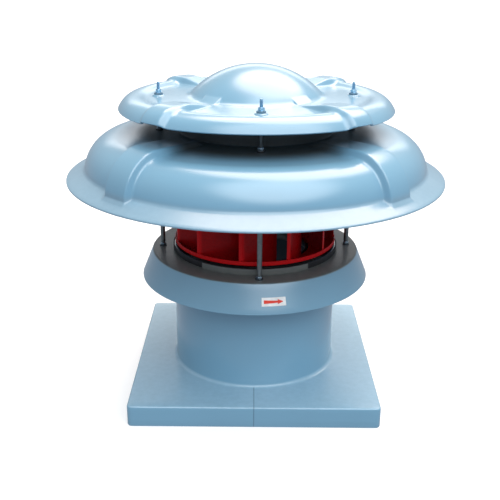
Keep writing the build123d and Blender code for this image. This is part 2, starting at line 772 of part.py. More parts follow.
with BuildPart() as hub_key:
    with BuildSketch(Plane.XY.offset(KEY_BOTTOM)):
        with Locations((SHAFT_END_RADIUS, 0)):
            Rectangle(KEY_WIDTH, KEY_WIDTH)
    extrude(amount=KEY_LENGTH)
save(hub_key, "hub_key")

# --- Motor: shaft, rotor, bearings ---

upper_bearing_top = UPPER_BEARING_Z + BEARING_WIDTH
core_margin = 18
with BuildPart() as motor_shaft:
    revolve(
        section(
            [
                (0, SHAFT_END_Z),
                (SHAFT_END_RADIUS, SHAFT_END_Z),
                (SHAFT_END_RADIUS, HUB_TOP + 2),
                (BEARING_BORE, HUB_TOP + 2),
                (BEARING_BORE, LOWER_BEARING_Z + BEARING_WIDTH),
                (SHAFT_CORE_RADIUS - 2, LOWER_BEARING_Z + BEARING_WIDTH),
                (SHAFT_CORE_RADIUS - 2, CORE_BOTTOM - core_margin),
                (SHAFT_CORE_RADIUS, CORE_BOTTOM - core_margin),
                (SHAFT_CORE_RADIUS, CORE_TOP + core_margin),
                (SHAFT_CORE_RADIUS - 2, CORE_TOP + core_margin),
                (SHAFT_CORE_RADIUS - 2, UPPER_BEARING_Z),
                (BEARING_BORE, UPPER_BEARING_Z),
                (BEARING_BORE, FAN_BOTTOM - 2),
                (FAN_SEAT_RADIUS, FAN_BOTTOM - 2),
                (FAN_SEAT_RADIUS, FAN_BOTTOM + FAN_HEIGHT + 2),
                (0, FAN_BOTTOM + FAN_HEIGHT + 2),
            ]
        ),
        axis=Axis.Z,
    )
    with BuildSketch(Plane.XY.offset(SHAFT_END_Z)):
        Circle(4.0)
    extrude(amount=22, mode=Mode.SUBTRACT)
    with BuildSketch(Plane.XY.offset(KEY_BOTTOM)):
        with Locations((SHAFT_END_RADIUS, 0)):
            Rectangle(KEY_WIDTH, KEY_WIDTH)
    extrude(amount=KEY_LENGTH, mode=Mode.SUBTRACT)
save(motor_shaft, "motor_shaft")

with BuildPart() as rotor_core:
    with BuildSketch(Plane.XY.offset(CORE_BOTTOM)):
        Circle(ROTOR_RADIUS)
        Circle(SHAFT_CORE_RADIUS, mode=Mode.SUBTRACT)
    extrude(amount=CORE_TOP - CORE_BOTTOM)
    for end, height in ((CORE_BOTTOM, -8), (CORE_TOP, 8)):
        with BuildSketch(Plane.XY.offset(end)):
            Circle(ROTOR_RADIUS - 1)
            Circle(ROTOR_RADIUS - 10, mode=Mode.SUBTRACT)
        extrude(amount=height)
save(rotor_core, "rotor_core")


def grooved_rings(outer, bore):
    """One ring of each of the two bearings, with the groove that its balls run in."""
    with BuildPart() as pieces:
        for level in bearing_levels:
            with BuildSketch(Plane.XY.offset(level)):
                Circle(outer)
                Circle(bore, mode=Mode.SUBTRACT)
            extrude(amount=BEARING_WIDTH)
            with Locations((0, 0, level + BEARING_WIDTH / 2)):
                Torus(BEARING_PITCH, GROOVE_RADIUS, mode=Mode.SUBTRACT)
    return pieces


save(grooved_rings(BEARING_OUTER, BEARING_PITCH + 2.6), "bearing_outer_rings")
save(grooved_rings(BEARING_PITCH - 2.6, BEARING_BORE), "bearing_inner_rings")

with BuildPart() as bearing_balls:
    for level in bearing_levels:
        with Locations((0, 0, level + BEARING_WIDTH / 2)):
            with PolarLocations(BEARING_PITCH, BALL_COUNT):
                Sphere(BALL_RADIUS)
save(bearing_balls, "bearing_balls")

with BuildPart() as bearing_shields:
    for level in bearing_levels:
        for face in (level + 0.3, level + BEARING_WIDTH - 0.9):
            with BuildSketch(Plane.XY.offset(face)):
                Circle(BEARING_PITCH + 2.6)
                Circle(BEARING_PITCH - 2.2, mode=Mode.SUBTRACT)
            extrude(amount=0.6)
save(bearing_shields, "bearing_shields")

# --- Motor: stator, housing and end shields ---

save(
    rings(0, 1, 0, BODY_BORE, ROTOR_RADIUS + AIR_GAP, CORE_BOTTOM, CORE_TOP - CORE_BOTTOM), "stator_core"
)

with BuildPart() as stator_windings:
    for end, height in ((CORE_BOTTOM, -WINDING_HEIGHT), (CORE_TOP, WINDING_HEIGHT)):
        with BuildSketch(Plane.XY.offset(end)):
            Circle(BODY_BORE - 3)
            Circle(ROTOR_RADIUS + 4, mode=Mode.SUBTRACT)
        extrude(amount=height)
save(stator_windings, "stator_windings")

with BuildPart() as motor_housing:
    with BuildSketch(Plane.XY.offset(BODY_BOTTOM)):
        Circle(BODY_RADIUS)
        with PolarLocations((BODY_RADIUS + FIN_RADIUS) / 2 - 0.5, FIN_COUNT):
            Rectangle(FIN_RADIUS - BODY_RADIUS + 1, FIN_WIDTH)
    extrude(amount=BODY_TOP - BODY_BOTTOM)
    with BuildSketch(Plane.XY.offset(BOX_Z - BOX_HEIGHT / 2 + 6)):
        with Locations((0, BOX_FACE_Y - 14)):
            Rectangle(BOX_WIDTH - 14, 28)
    extrude(amount=BOX_HEIGHT - 12)
    with BuildSketch(Plane.XY.offset(BODY_BOTTOM)):
        Circle(BODY_BORE)
    extrude(amount=BODY_TOP - BODY_BOTTOM, mode=Mode.SUBTRACT)
    with BuildSketch(Plane.XY.offset(BODY_TOP)):
        with PolarLocations(BODY_BORE + 3.5, 4, start_angle=45):
            Circle(2.0)
    extrude(amount=-14, mode=Mode.SUBTRACT)
save(motor_housing, "motor_housing")

spigot_bottom = PLATE_BOTTOM + 1
with BuildPart() as drive_end_shield:
    revolve(
        section(
            [
                (SHIELD_HOLE, spigot_bottom),
                (SPIGOT_RADIUS - 0.1, spigot_bottom),
                (SPIGOT_RADIUS - 0.1, plate_top),
                (FLANGE_RADIUS, plate_top),
                (FLANGE_RADIUS, flange_top),
                (BODY_RADIUS + 3, flange_top),
                (BODY_RADIUS + 3, BODY_BOTTOM),
                (BODY_BORE, BODY_BOTTOM),
                (BODY_BORE, flange_top),
                (BEARING_OUTER + 8, flange_top),
                (BEARING_OUTER + 8, LOWER_BEARING_Z + BEARING_WIDTH + 2),
                (BEARING_OUTER, LOWER_BEARING_Z + BEARING_WIDTH + 2),
                (BEARING_OUTER, LOWER_BEARING_Z),
                (SHIELD_HOLE, LOWER_BEARING_Z),
            ]
        ),
        axis=Axis.Z,
    )
    with BuildSketch(Plane.XY.offset(plate_top)):
        with PolarLocations(MOTOR_BOLT_CIRCLE, 4, start_angle=45):
            Circle(5.5)
    extrude(amount=FLANGE_THICKNESS, mode=Mode.SUBTRACT)
save(drive_end_shield, "drive_end_shield")

shield_top = BODY_TOP + 8
with BuildPart() as rear_end_shield:
    revolve(
        section(
            [
                (BEARING_OUTER, BODY_TOP),
                (BODY_RADIUS + 3, BODY_TOP),
                (BODY_RADIUS + 3, shield_top),
                (BEARING_OUTER + 8, shield_top),
                (BEARING_OUTER + 8, upper_bearing_top + 4),
                (SHIELD_HOLE, upper_bearing_top + 4),
                (SHIELD_HOLE, upper_bearing_top),
                (BEARING_OUTER, upper_bearing_top),
            ]
        ),
        axis=Axis.Z,
    )
    with BuildSketch(Plane.XY.offset(BODY_TOP)):
        with PolarLocations(BODY_BORE + 3.5, 4, start_angle=45):
            Circle(2.2)
    extrude(amount=shield_top - BODY_TOP, mode=Mode.SUBTRACT)
save(rear_end_shield, "rear_end_shield")

save(bolts(BODY_BORE + 3.5, 4, 45, 2.0, 7, shield_top, 3, BODY_TOP - 12), "rear_shield_screws")
save(bolts(MOTOR_BOLT_CIRCLE, 4, 45, 5.0, 16, flange_top, 6.4, PLATE_BOTTOM - 10), "motor_bolts")
save(nuts(MOTOR_BOLT_CIRCLE, 4, 45, 16, 5.05, PLATE_BOTTOM - 8, 8), "motor_nuts")

# --- Motor: cooling fan and its cowl ---

with BuildPart() as cooling_fan:
    with BuildSketch(Plane.XY.offset(FAN_BOTTOM)):
        Circle(FAN_RADIUS)
    extrude(amount=2)
    with BuildSketch(Plane.XY.offset(FAN_BOTTOM)):
        Circle(FAN_SEAT_RADIUS + 6)
        with PolarLocations(FAN_RADIUS / 2 + 5, FAN_BLADE_COUNT):
            Rectangle(FAN_RADIUS - 10, 2)
    extrude(amount=FAN_HEIGHT)
    with BuildSketch(Plane.XY.offset(FAN_BOTTOM)):
        Circle(FAN_SEAT_RADIUS)
    extrude(amount=FAN_HEIGHT, mode=Mode.SUBTRACT)
save(cooling_fan, "cooling_fan")

with BuildPart() as fan_cowl:
    with BuildSketch(Plane.XY.offset(COWL_BOTTOM)):
        Circle(COWL_RADIUS)
    extrude(amount=COWL_TOP - COWL_BOTTOM)
    fillet(fan_cowl.faces().sort_by(Axis.Z)[-1].edges(), COWL_EDGE)
    offset(amount=-COWL_SHEET, openings=fan_cowl.faces().sort_by(Axis.Z)[0])
    with BuildSketch(Plane.XY.offset(COWL_TOP - COWL_SHEET)):
        for circle, count in ((18, 8), (30, 14), (42, 20), (54, 26)):
            with PolarLocations(circle, count):
                Circle(3.2)
    extrude(amount=COWL_SHEET, mode=Mode.SUBTRACT)
save(fan_cowl, "fan_cowl")

# --- Motor: terminal box on its back, with its lid, terminals and cable gland ---

box_face = Plane(origin=(0, BOX_FACE_Y, BOX_Z), x_dir=(1, 0, 0), z_dir=(0, 1, 0))
GLAND_DEPTH = 14.0
with BuildPart() as terminal_box:
    with BuildSketch(box_face):
        RectangleRounded(BOX_WIDTH, BOX_HEIGHT, 6)
    extrude(amount=BOX_DEPTH)
    with BuildSketch(box_face.offset(BOX_WALL)):
        RectangleRounded(BOX_WIDTH - 2 * BOX_WALL, BOX_HEIGHT - 2 * BOX_WALL, 3)
    extrude(amount=BOX_DEPTH, mode=Mode.SUBTRACT)
    with BuildSketch(box_face.offset(BOX_WALL)):
        with GridLocations(BOX_WIDTH - 14, BOX_HEIGHT - 14, 2, 2):
            Circle(4.5)
            Circle(1.9, mode=Mode.SUBTRACT)
    extrude(amount=BOX_DEPTH - BOX_WALL)
    gland_seat = Plane(origin=(BOX_WIDTH / 2, BOX_FACE_Y + GLAND_DEPTH, BOX_Z), z_dir=(1, 0, 0))
    with BuildSketch(gland_seat):
        Circle(8)
    extrude(amount=-BOX_WALL, mode=Mode.SUBTRACT)
save(terminal_box, "terminal_box")

with BuildPart() as terminal_lid:
    with BuildSketch(box_face.offset(BOX_DEPTH)):
        RectangleRounded(BOX_WIDTH, BOX_HEIGHT, 6)
    extrude(amount=LID_DEPTH)
    fillet(terminal_lid.faces().sort_by(Axis.Y)[-1].edges(), 2)
    with BuildSketch(box_face.offset(BOX_DEPTH)):
        with GridLocations(BOX_WIDTH - 14, BOX_HEIGHT - 14, 2, 2):
            Circle(2.2)
    extrude(amount=LID_DEPTH, mode=Mode.SUBTRACT)
save(terminal_lid, "terminal_lid")

with BuildPart() as lid_screws:
    with BuildSketch(box_face.offset(BOX_DEPTH + LID_DEPTH)):
        with GridLocations(BOX_WIDTH - 14, BOX_HEIGHT - 14, 2, 2):
            Circle(3.6)
    extrude(amount=2.4)
    with BuildSketch(box_face.offset(BOX_DEPTH + LID_DEPTH)):
        with GridLocations(BOX_WIDTH - 14, BOX_HEIGHT - 14, 2, 2):
            Circle(1.9)
    extrude(amount=-LID_DEPTH - 10)
save(lid_screws, "lid_screws")

with BuildPart() as terminal_block:
    with BuildSketch(box_face.offset(BOX_WALL)):
        Rectangle(44, 30)
    extrude(amount=10)
    with BuildSketch(box_face.offset(BOX_WALL + 10)):
        with GridLocations(14, 14, 3, 2):
            Circle(2)
    extrude(amount=8)
save(terminal_block, "terminal_block")

with BuildPart() as cable_gland:
    with BuildSketch(gland_seat):
        RegularPolygon(12, 6, major_radius=False)
    extrude(amount=7)
    with BuildSketch(gland_seat.offset(7)):
        Circle(10.5)
    extrude(amount=12)
    fillet(cable_gland.faces().sort_by(Axis.X)[-1].edges(), 4)
    with BuildSketch(gland_seat):
        Circle(7.9)
    extrude(amount=-BOX_WALL - 3)
    with BuildSketch(gland_seat.offset(-BOX_WALL - 3)):
        Circle(5)
    extrude(amount=BOX_WALL + 3 + 7 + 12, mode=Mode.SUBTRACT)
save(cable_gland, "cable_gland")
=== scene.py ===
import json
from math import asin, atan2, cos, degrees, hypot, pi, radians, sin, tan

import bmesh
import bpy
import numpy as np
from mathutils import Matrix, Vector


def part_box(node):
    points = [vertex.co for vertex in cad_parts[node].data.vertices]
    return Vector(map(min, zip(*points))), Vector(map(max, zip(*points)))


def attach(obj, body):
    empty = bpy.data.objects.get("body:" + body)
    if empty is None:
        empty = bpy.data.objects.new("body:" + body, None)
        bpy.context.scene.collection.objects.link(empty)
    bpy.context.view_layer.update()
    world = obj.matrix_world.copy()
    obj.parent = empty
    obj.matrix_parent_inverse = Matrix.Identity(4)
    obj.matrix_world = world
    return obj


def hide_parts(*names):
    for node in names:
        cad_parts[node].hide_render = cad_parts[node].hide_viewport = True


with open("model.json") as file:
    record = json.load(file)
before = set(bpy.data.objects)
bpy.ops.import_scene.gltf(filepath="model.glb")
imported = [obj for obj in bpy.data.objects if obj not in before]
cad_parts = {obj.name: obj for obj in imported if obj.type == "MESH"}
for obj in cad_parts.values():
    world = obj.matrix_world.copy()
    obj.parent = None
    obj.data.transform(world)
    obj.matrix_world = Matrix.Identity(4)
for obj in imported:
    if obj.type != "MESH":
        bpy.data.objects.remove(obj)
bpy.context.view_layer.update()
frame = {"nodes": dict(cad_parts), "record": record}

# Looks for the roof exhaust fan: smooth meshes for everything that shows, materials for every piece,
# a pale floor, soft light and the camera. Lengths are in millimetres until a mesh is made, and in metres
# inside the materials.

MM = 0.001

# --- Driving sizes, read from the frame where the frame has them ---


def node_box(node):
    """A node's lowest and highest corners in millimetres."""
    low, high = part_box(node)
    return low / MM, high / MM


base_low, base_high = node_box("base_moulding")
collar_low, collar_high = node_box("weather_collar")
hood_low, hood_high = node_box("hood")
cap_low, cap_high = node_box("top_cap")
shroud_low, shroud_high = node_box("impeller_front_shroud")
back_low, back_high = node_box("impeller_back_plate")
seal_low, seal_high = node_box("neck_seal_ring")
plate_low, plate_high = node_box("motor_plate")
rod_low, rod_high = node_box("tie_rods")

ROD_TURN = 2.4
ROD_COUNT = 4
ROD_CIRCLE = 234.0
WALL = 5.0  # of the collar, the hood and the cap

# --- Mesh tools ---


def rounded(corners, closed=True, steps=5):
    """An outline with its corners rounded, from (radius, height, rounding) corners."""
    points = []
    count = len(corners)
    for i, (x, z, rounding) in enumerate(corners):
        here = np.array([x, z], float)
        if rounding == 0 or (not closed and i in (0, count - 1)):
            points.append(here)
            continue
        to_last = np.array(corners[i - 1][:2], float) - here
        to_next = np.array(corners[(i + 1) % count][:2], float) - here
        last_length, next_length = np.linalg.norm(to_last), np.linalg.norm(to_next)
        to_last /= last_length
        to_next /= next_length
        half = np.arccos(np.clip(to_last @ to_next, -1, 1)) / 2
        reach = min(rounding / tan(half), last_length * 0.49, next_length * 0.49)
        radius = reach * tan(half)
        middle = to_last + to_next
        centre = here + middle / np.linalg.norm(middle) * radius / sin(half)
        start, end = here + to_last * reach - centre, here + to_next * reach - centre
        turn = atan2(start[0] * end[1] - start[1] * end[0], start @ end)
        for k in range(steps + 1):
            a = turn * k / steps
            points.append(
                centre
                + np.array([start[0] * cos(a) - start[1] * sin(a), start[0] * sin(a) + start[1] * cos(a)])
            )
    return np.array(points)


def even(points, longest):
    """The same line with its long straight stretches divided, so that quads stay fairly square."""
    out = [points[0]]
    for a, b in zip(points[:-1], points[1:]):
        pieces = max(1, int(np.ceil(np.linalg.norm(b - a) / longest)))
        out += [a + (b - a) * k / pieces for k in range(1, pieces + 1)]
    return np.array(out)


def make_object(name, mesh, sharp):
    """A smooth-shaded object of this mesh, sharp only where it turns by more than this."""
    mesh.shade_smooth()
    mesh.set_sharp_from_angle(angle=radians(sharp))
    obj = bpy.data.objects.new(name, mesh)
    bpy.context.scene.collection.objects.link(obj)
    return obj


class Parts:
    """Points and faces of several closed skins, gathered into one object."""

    def __init__(self):
        self.points, self.faces = [], []

    def skin(self, grid, wrap_rows=True):
        """Quads between the points of a grid, whose rows each close on themselves."""
        rows, columns = grid.shape[:2]
        first = len(self.points)
        for i in range(rows if wrap_rows else rows - 1):
            a, b = first + i * columns, first + (i + 1) % rows * columns
            for j in range(columns):
                k = (j + 1) % columns
                self.faces.append((a + j, b + j, b + k, a + k))
        self.points += list(grid.reshape(-1, 3))

    def capped(self, grid):
        """A skin whose first and last rows close on a flat face each."""
        rows, columns = grid.shape[:2]
        first = len(self.points)
        last = first + (rows - 1) * columns
        self.skin(grid, wrap_rows=False)
        self.faces.append(tuple(range(first, first + columns)))
        self.faces.append(tuple(range(last + columns - 1, last - 1, -1)))

    def poled(self, grid, top, bottom):
        """A skin whose first and last rows close on a point each."""
        rows, columns = grid.shape[:2]
        first = len(self.points)
        self.skin(grid, wrap_rows=False)
        ends = len(self.points)
        self.points += [np.array(top, float), np.array(bottom, float)]
        last = first + (rows - 1) * columns
        for j in range(columns):
            k = (j + 1) % columns
            self.faces.append((ends, first + j, first + k))
            self.faces.append((last + k, last + j, ends + 1))

    def object(self, name, sharp=38):
        mesh = bpy.data.meshes.new(name)
        mesh.from_pydata([tuple(p) for p in np.asarray(self.points) * MM], [], self.faces)
        mesh.validate()
        return make_object(name, mesh, sharp)


def around(outline, angles):
    """The grid that an outline of (radius, height) points sweeps round +Z through these angles."""
    radius, height = outline[:, 0][:, None], outline[:, 1][:, None]
    turn = np.radians(angles)[None, :]
    return np.stack([radius * np.cos(turn), radius * np.sin(turn), height + 0 * turn], axis=2)


def full_turn(columns):
    return np.arange(columns) * 360 / columns


def lathe(name, corners, columns):
    """A ring of this closed section, with its corners rounded."""
    outline = rounded(corners)
    outline = even(np.vstack([outline, outline[:1]]), 40)[:-1]
    parts = Parts()
    parts.skin(around(outline, full_turn(columns))[::-1])
    return parts.object(name)


def placed(grid, x, y, turn=0.0):
    """A grid made at the origin, turned about +Z and moved to a place in plan."""
    c, s = cos(radians(turn)), sin(radians(turn))
    out = grid.copy()
    out[..., 0] = grid[..., 0] * c - grid[..., 1] * s + x
    out[..., 1] = grid[..., 0] * s + grid[..., 1] * c + y
    return out


def polar(radius, turn):
    return radius * cos(radians(turn)), radius * sin(radians(turn))


rod_places = [polar(ROD_CIRCLE, ROD_TURN + 360 / ROD_COUNT * k) for k in range(ROD_COUNT)]

# --- Material tools ---


class Nodes:
    """A material's node tree, with short ways to add what the materials here share."""

    def __init__(self, name):
        self.material = bpy.data.materials.new(name)
        self.material.use_nodes = True
        self.tree = self.material.node_tree
        self.shader = next(n for n in self.tree.nodes if n.type == "BSDF_PRINCIPLED")
        coordinates = self.tree.nodes.new("ShaderNodeTexCoord")
        self.where = coordinates.outputs["Object"]

    def link(self, a, b):
        self.tree.links.new(a, b)

    def set(self, **values):
        for name, value in values.items():
            self.shader.inputs[name.replace("_", " ")].default_value = value
        return self

    def noise(self, scale, detail=3.0, roughness=0.5, stretch=None):
        node = self.tree.nodes.new("ShaderNodeTexNoise")
        node.inputs["Scale"].default_value = scale
        node.inputs["Detail"].default_value = detail
        node.inputs["Roughness"].default_value = roughness
        if stretch:
            mapping = self.tree.nodes.new("ShaderNodeMapping")
            mapping.inputs["Scale"].default_value = stretch
            self.link(self.where, mapping.inputs["Vector"])
            self.link(mapping.outputs["Vector"], node.inputs["Vector"])
        else:
            self.link(self.where, node.inputs["Vector"])
        return node.outputs["Fac"]

    def ramp(self, value, stops):
        """A colour ramp; each stop is (place, colour or grey)."""
        node = self.tree.nodes.new("ShaderNodeValToRGB")
        elements = node.color_ramp.elements
        while len(elements) < len(stops):
            elements.new(0.5)
        for element, (place, tone) in zip(elements, stops):
            element.position = place
            tone = (tone,) * 3 if isinstance(tone, (int, float)) else tone
            element.color = (*tone, 1)
        self.link(value, node.inputs["Fac"])
        return node.outputs["Color"]

    def math(self, operation, a, b=0.0, c=0.0):
        node = self.tree.nodes.new("ShaderNodeMath")
        node.operation = operation
        for socket, value in zip(node.inputs, (a, b, c)):
            if isinstance(value, (int, float)):
                socket.default_value = value
            else:
                self.link(value, socket)
        return node.outputs[0]

    def mix(self, share, a, b):
        """Colour a where share is 0, and b where it is 1."""
        node = self.tree.nodes.new("ShaderNodeMix")
        node.data_type = "RGBA"
        for socket, value in ((node.inputs[0], share), (node.inputs[6], a), (node.inputs[7], b)):
            if isinstance(value, (int, float)):
                socket.default_value = value
            elif isinstance(value, tuple):
                socket.default_value = (*value, 1)
            else:
                self.link(value, socket)
        return node.outputs[2]

    def axis(self, which):
        node = self.tree.nodes.new("ShaderNodeSeparateXYZ")
        self.link(self.where, node.inputs[0])
        return node.outputs[which]

    def bump(self, height, distance, strength=1.0, under=None):
        node = self.tree.nodes.new("ShaderNodeBump")
        node.inputs["Distance"].default_value = distance
        node.inputs["Strength"].default_value = strength
        self.link(height, node.inputs["Height"])
        if under is not None:
            self.link(under, node.inputs["Normal"])
        return node.outputs["Normal"]

    def edges(self, low=0.53, high=0.62):
        """Near 1 on convex edges of a dense mesh, 0 elsewhere."""
        node = self.tree.nodes.new("ShaderNodeNewGeometry")
        return self.ramp(node.outputs["Pointiness"], [(low, 0.0), (high, 1.0)])

    def paint(self, colour=None, rough=None, normal=None):
        if colour is not None:
            self.link(colour, self.shader.inputs["Base Color"])
        if rough is not None:
            self.link(rough, self.shader.inputs["Roughness"])
        if normal is not None:
            self.link(normal, self.shader.inputs["Normal"])
        return self.material


def shade(colour, factor):
    return tuple(min(1.0, c * factor) for c in colour)


def gelcoat(name, colour, seam=False, overlays=()):
    """Fibreglass gelcoat: a deep glossy skin with slow waves and a slightly uneven tone.
    Its last argument lists colours laid over it, each a function for its share and its colour: dust, chalk,
    painted shade, painted light and painted reflection."""
    n = Nodes(name).set(Coat_Weight=1.0, Coat_Roughness=0.19, Coat_IOR=1.6, Specular_IOR_Level=0.4)
    drift = [(0.3, shade(colour, 0.97)), (0.5, colour), (0.72, shade(colour, 1.03))]
    tone = n.ramp(n.noise(3.5, 3, 0.5), drift)
    grime = n.ramp(n.noise(9, 5, 0.5), [(0.45, 0.0), (0.9, 0.14)])
    tone = n.mix(grime, tone, shade(colour, 0.8))
    specks = n.ramp(n.noise(420, 2, 0.5), [(0.68, 0.0), (0.76, 0.08)])
    tone = n.mix(specks, tone, shade(colour, 0.7))
    rough = n.ramp(n.noise(4, 2, 0.4), [(0.3, 0.28), (0.7, 0.32)])
    covered = None
    # lay each overlay's colour over the gelcoat by its share: dust, chalk, painted shade, painted light and
    # painted reflection
    for share_function, overlay_tone in overlays:
        share = share_function(n)
        mottled = n.ramp(n.noise(60, 8, 0.68), [(0.25, shade(overlay_tone, 0.86)), (0.75, shade(overlay_tone, 1.14))])
        tone = n.mix(share, tone, mottled)
        covered = n.math("MAXIMUM", covered, share) if covered else share
    if overlays:
        rough = n.math("MAXIMUM", rough, n.math("MULTIPLY", covered, 0.7))
        n.link(n.math("MULTIPLY_ADD", covered, -0.95, 1.0), n.shader.inputs["Coat Weight"])
    if seam:  # in front of the neck, within 1.1 mm of the middle
        along = n.math("LESS_THAN", n.axis(1), -0.208)
        across = n.math("LESS_THAN", n.math("ABSOLUTE", n.axis(0)), 0.0011)
        tone = n.mix(n.math("MULTIPLY", n.math("MULTIPLY", along, across), 0.6), tone, shade(colour, 0.4))
    waves = n.bump(n.noise(7, 2, 0.4), 0.0012, 0.3)
    weave = n.bump(n.noise(95, 3, 0.5), 0.0002, 0.2, waves)
    peel = n.bump(n.noise(700, 2, 0.5), 0.00004, 0.4, weave)
    return n.paint(tone, rough, peel)


def from_axis(n):
    """Distance from the fan's axis, in metres."""
    x, y = n.axis(0), n.axis(1)
    return n.math("SQRT", n.math("ADD", n.math("MULTIPLY", x, x), n.math("MULTIPLY", y, y)))


def share_of(n, value, none, full):
    """0 where value is none, 1 where it is full, and a smooth step between."""
    node = n.tree.nodes.new("ShaderNodeMapRange")
    node.interpolation_type = "SMOOTHSTEP"
    node.inputs["From Min"].default_value = none
    node.inputs["From Max"].default_value = full
    n.link(value, node.inputs["Value"])
    return node.outputs["Result"]


def shelf_dust_and_shade(n):
    """On the collar, a dark brown colour on its flat shelf: dust that the fan throws there, and painted shade
    under the hood.
    """
    return n.math("MULTIPLY", share_of(n, n.axis(2), 0.3485, 0.3518), 0.85)


def painted_deck_light(n):
    """On the base, painted light: a paler colour on its flat deck, which the hood shades."""
    above = share_of(n, n.axis(2), 0.049, 0.052)
    below = share_of(n, n.axis(2), 0.063, 0.054)
    return n.math("MULTIPLY", n.math("MULTIPLY", above, below), 0.45)


def painted_duct_shade(n):
    """On the base, painted shade: a near-black colour inside the neck, where the duct lies in shade."""
    return n.math("MULTIPLY", share_of(n, from_axis(n), 0.2040, 0.2010), 0.9)


def brim_chalk_and_sheen(n):
    """On the hood, the dull chalky bloom on the weathered brim, and painted reflection: a greyer, less blue
    colour there.
    """
    return n.math("MULTIPLY", share_of(n, n.axis(2), 0.580, 0.566), 0.35)


def painted_cap_shade(n):
    """On the hood, painted shade: a dark colour near the axis, under the top cap and under the hood, where
    the cap's shadow falls.
    """
    return n.math("MULTIPLY", share_of(n, from_axis(n), 0.328, 0.255), 0.92)


def red_paint(name, colour):
    """Enamel over steel sheet: glossy, slightly uneven, dusty and chipped through at the edges, with painted
    light on its outer rim.
    """
    n = Nodes(name).set(Coat_Weight=0.02, Coat_Roughness=0.2, Specular_IOR_Level=0.1)
    uneven = [(0.3, shade(colour, 0.72)), (0.55, colour), (0.8, shade(colour, 1.15))]
    tone = n.ramp(n.noise(12, 5, 0.6), uneven)
    dust = n.ramp(n.noise(38, 8, 0.65), [(0.55, 0.0), (0.85, 0.15)])
    tone = n.mix(dust, tone, (0.06, 0.012, 0.012))
    # painted light: the outer rim is painted 1.6 times brighter, where the light falls on it
    rim = share_of(n, from_axis(n), 0.1935, 0.1985)
    tone = n.mix(n.math("MULTIPLY", rim, 0.9), tone, shade(colour, 1.6))
    patches = n.ramp(n.noise(160, 4, 0.6), [(0.55, 0.0), (0.62, 0.8)])
    chips = n.math("MULTIPLY", n.edges(0.56, 0.66), patches)
    tone = n.mix(chips, tone, (0.09, 0.02, 0.018))
    rough = n.ramp(n.noise(45, 5, 0.6), [(0.3, 0.22), (0.75, 0.46)])
    peel = n.bump(n.noise(420, 3, 0.55), 0.0001, 0.45)
    return n.paint(tone, rough, peel)


def painted_light_above_cap(n, tone, colour):
    """Painted light and reflection: below the top cap this tone, and above it, out of the cap's shadow, this
    brighter, bluish colour.
    """
    return n.mix(share_of(n, n.axis(2), 0.732, 0.736), tone, colour)


def plated(name, colour, rough_low=0.24, rough_high=0.45, spangle=False, painted_lit_colour=None):
    """Zinc-plated or galvanised steel: fine mottling and dull patches.
    Its last argument, if given, is a painted lit colour for it above the top cap."""
    n = Nodes(name).set(Metallic=1.0)
    if spangle:
        cells = n.tree.nodes.new("ShaderNodeTexVoronoi")
        cells.inputs["Scale"].default_value = 130
        n.link(n.where, cells.inputs["Vector"])
        pattern = n.ramp(cells.outputs["Color"], [(0.1, shade(colour, 0.82)), (0.9, shade(colour, 1.1))])
    else:
        pattern = n.ramp(n.noise(240, 4, 0.6), [(0.3, shade(colour, 0.82)), (0.7, shade(colour, 1.1))])
    stain = n.ramp(n.noise(30, 6, 0.65), [(0.52, 0.0), (0.8, 0.45)])
    tone = n.mix(stain, pattern, shade(colour, 0.55))
    if painted_lit_colour:
        tone = painted_light_above_cap(n, tone, painted_lit_colour)
    rough = n.ramp(n.noise(110, 5, 0.6), [(0.25, rough_low), (0.75, rough_high)])
    return n.paint(tone, rough, n.bump(n.noise(900, 3, 0.6), 0.00004, 0.5))


def machined(name, colour, rough=0.22):
    """Turned or ground steel, with fine marks round the axis."""
    n = Nodes(name).set(Metallic=1.0)
    marks = n.noise(60, 4, 0.6, (1, 1, 40))
    tone = n.ramp(marks, [(0.3, shade(colour, 0.85)), (0.7, shade(colour, 1.08))])
    roughness = n.ramp(n.noise(70, 4, 0.6), [(0.3, rough * 0.8), (0.7, rough * 1.6)])
    return n.paint(tone, roughness, n.bump(marks, 0.00004, 0.5))


def cast(name, colour, metallic=0.0, grain=260, rough=(0.4, 0.62)):
    """Painted or bare casting, with the sand's grain in its skin."""
    n = Nodes(name).set(Metallic=metallic)
    tone = n.ramp(n.noise(26, 6, 0.62), [(0.3, shade(colour, 0.8)), (0.7, shade(colour, 1.12))])
    roughness = n.ramp(n.noise(120, 4, 0.6), [(0.3, rough[0]), (0.7, rough[1])])
    skin = n.bump(n.noise(grain, 5, 0.65), 0.0003, 0.5)
    return n.paint(tone, roughness, skin)


def moulded(name, colour, rough=(0.4, 0.6), grain=500, painted_lit_colour=None):
    """Rubber or plain plastic with a fine matt grain. Its last argument, if given, is a painted lit colour
    for it above the top cap.
    """
    n = Nodes(name)
    tone = n.ramp(n.noise(40, 6, 0.6), [(0.3, shade(colour, 0.75)), (0.75, shade(colour, 1.4))])
    if painted_lit_colour:
        tone = painted_light_above_cap(n, tone, painted_lit_colour)
    roughness = n.ramp(n.noise(90, 4, 0.6), [(0.3, rough[0]), (0.7, rough[1])])
    return n.paint(tone, roughness, n.bump(n.noise(grain, 3, 0.6), 0.00008, 0.6))


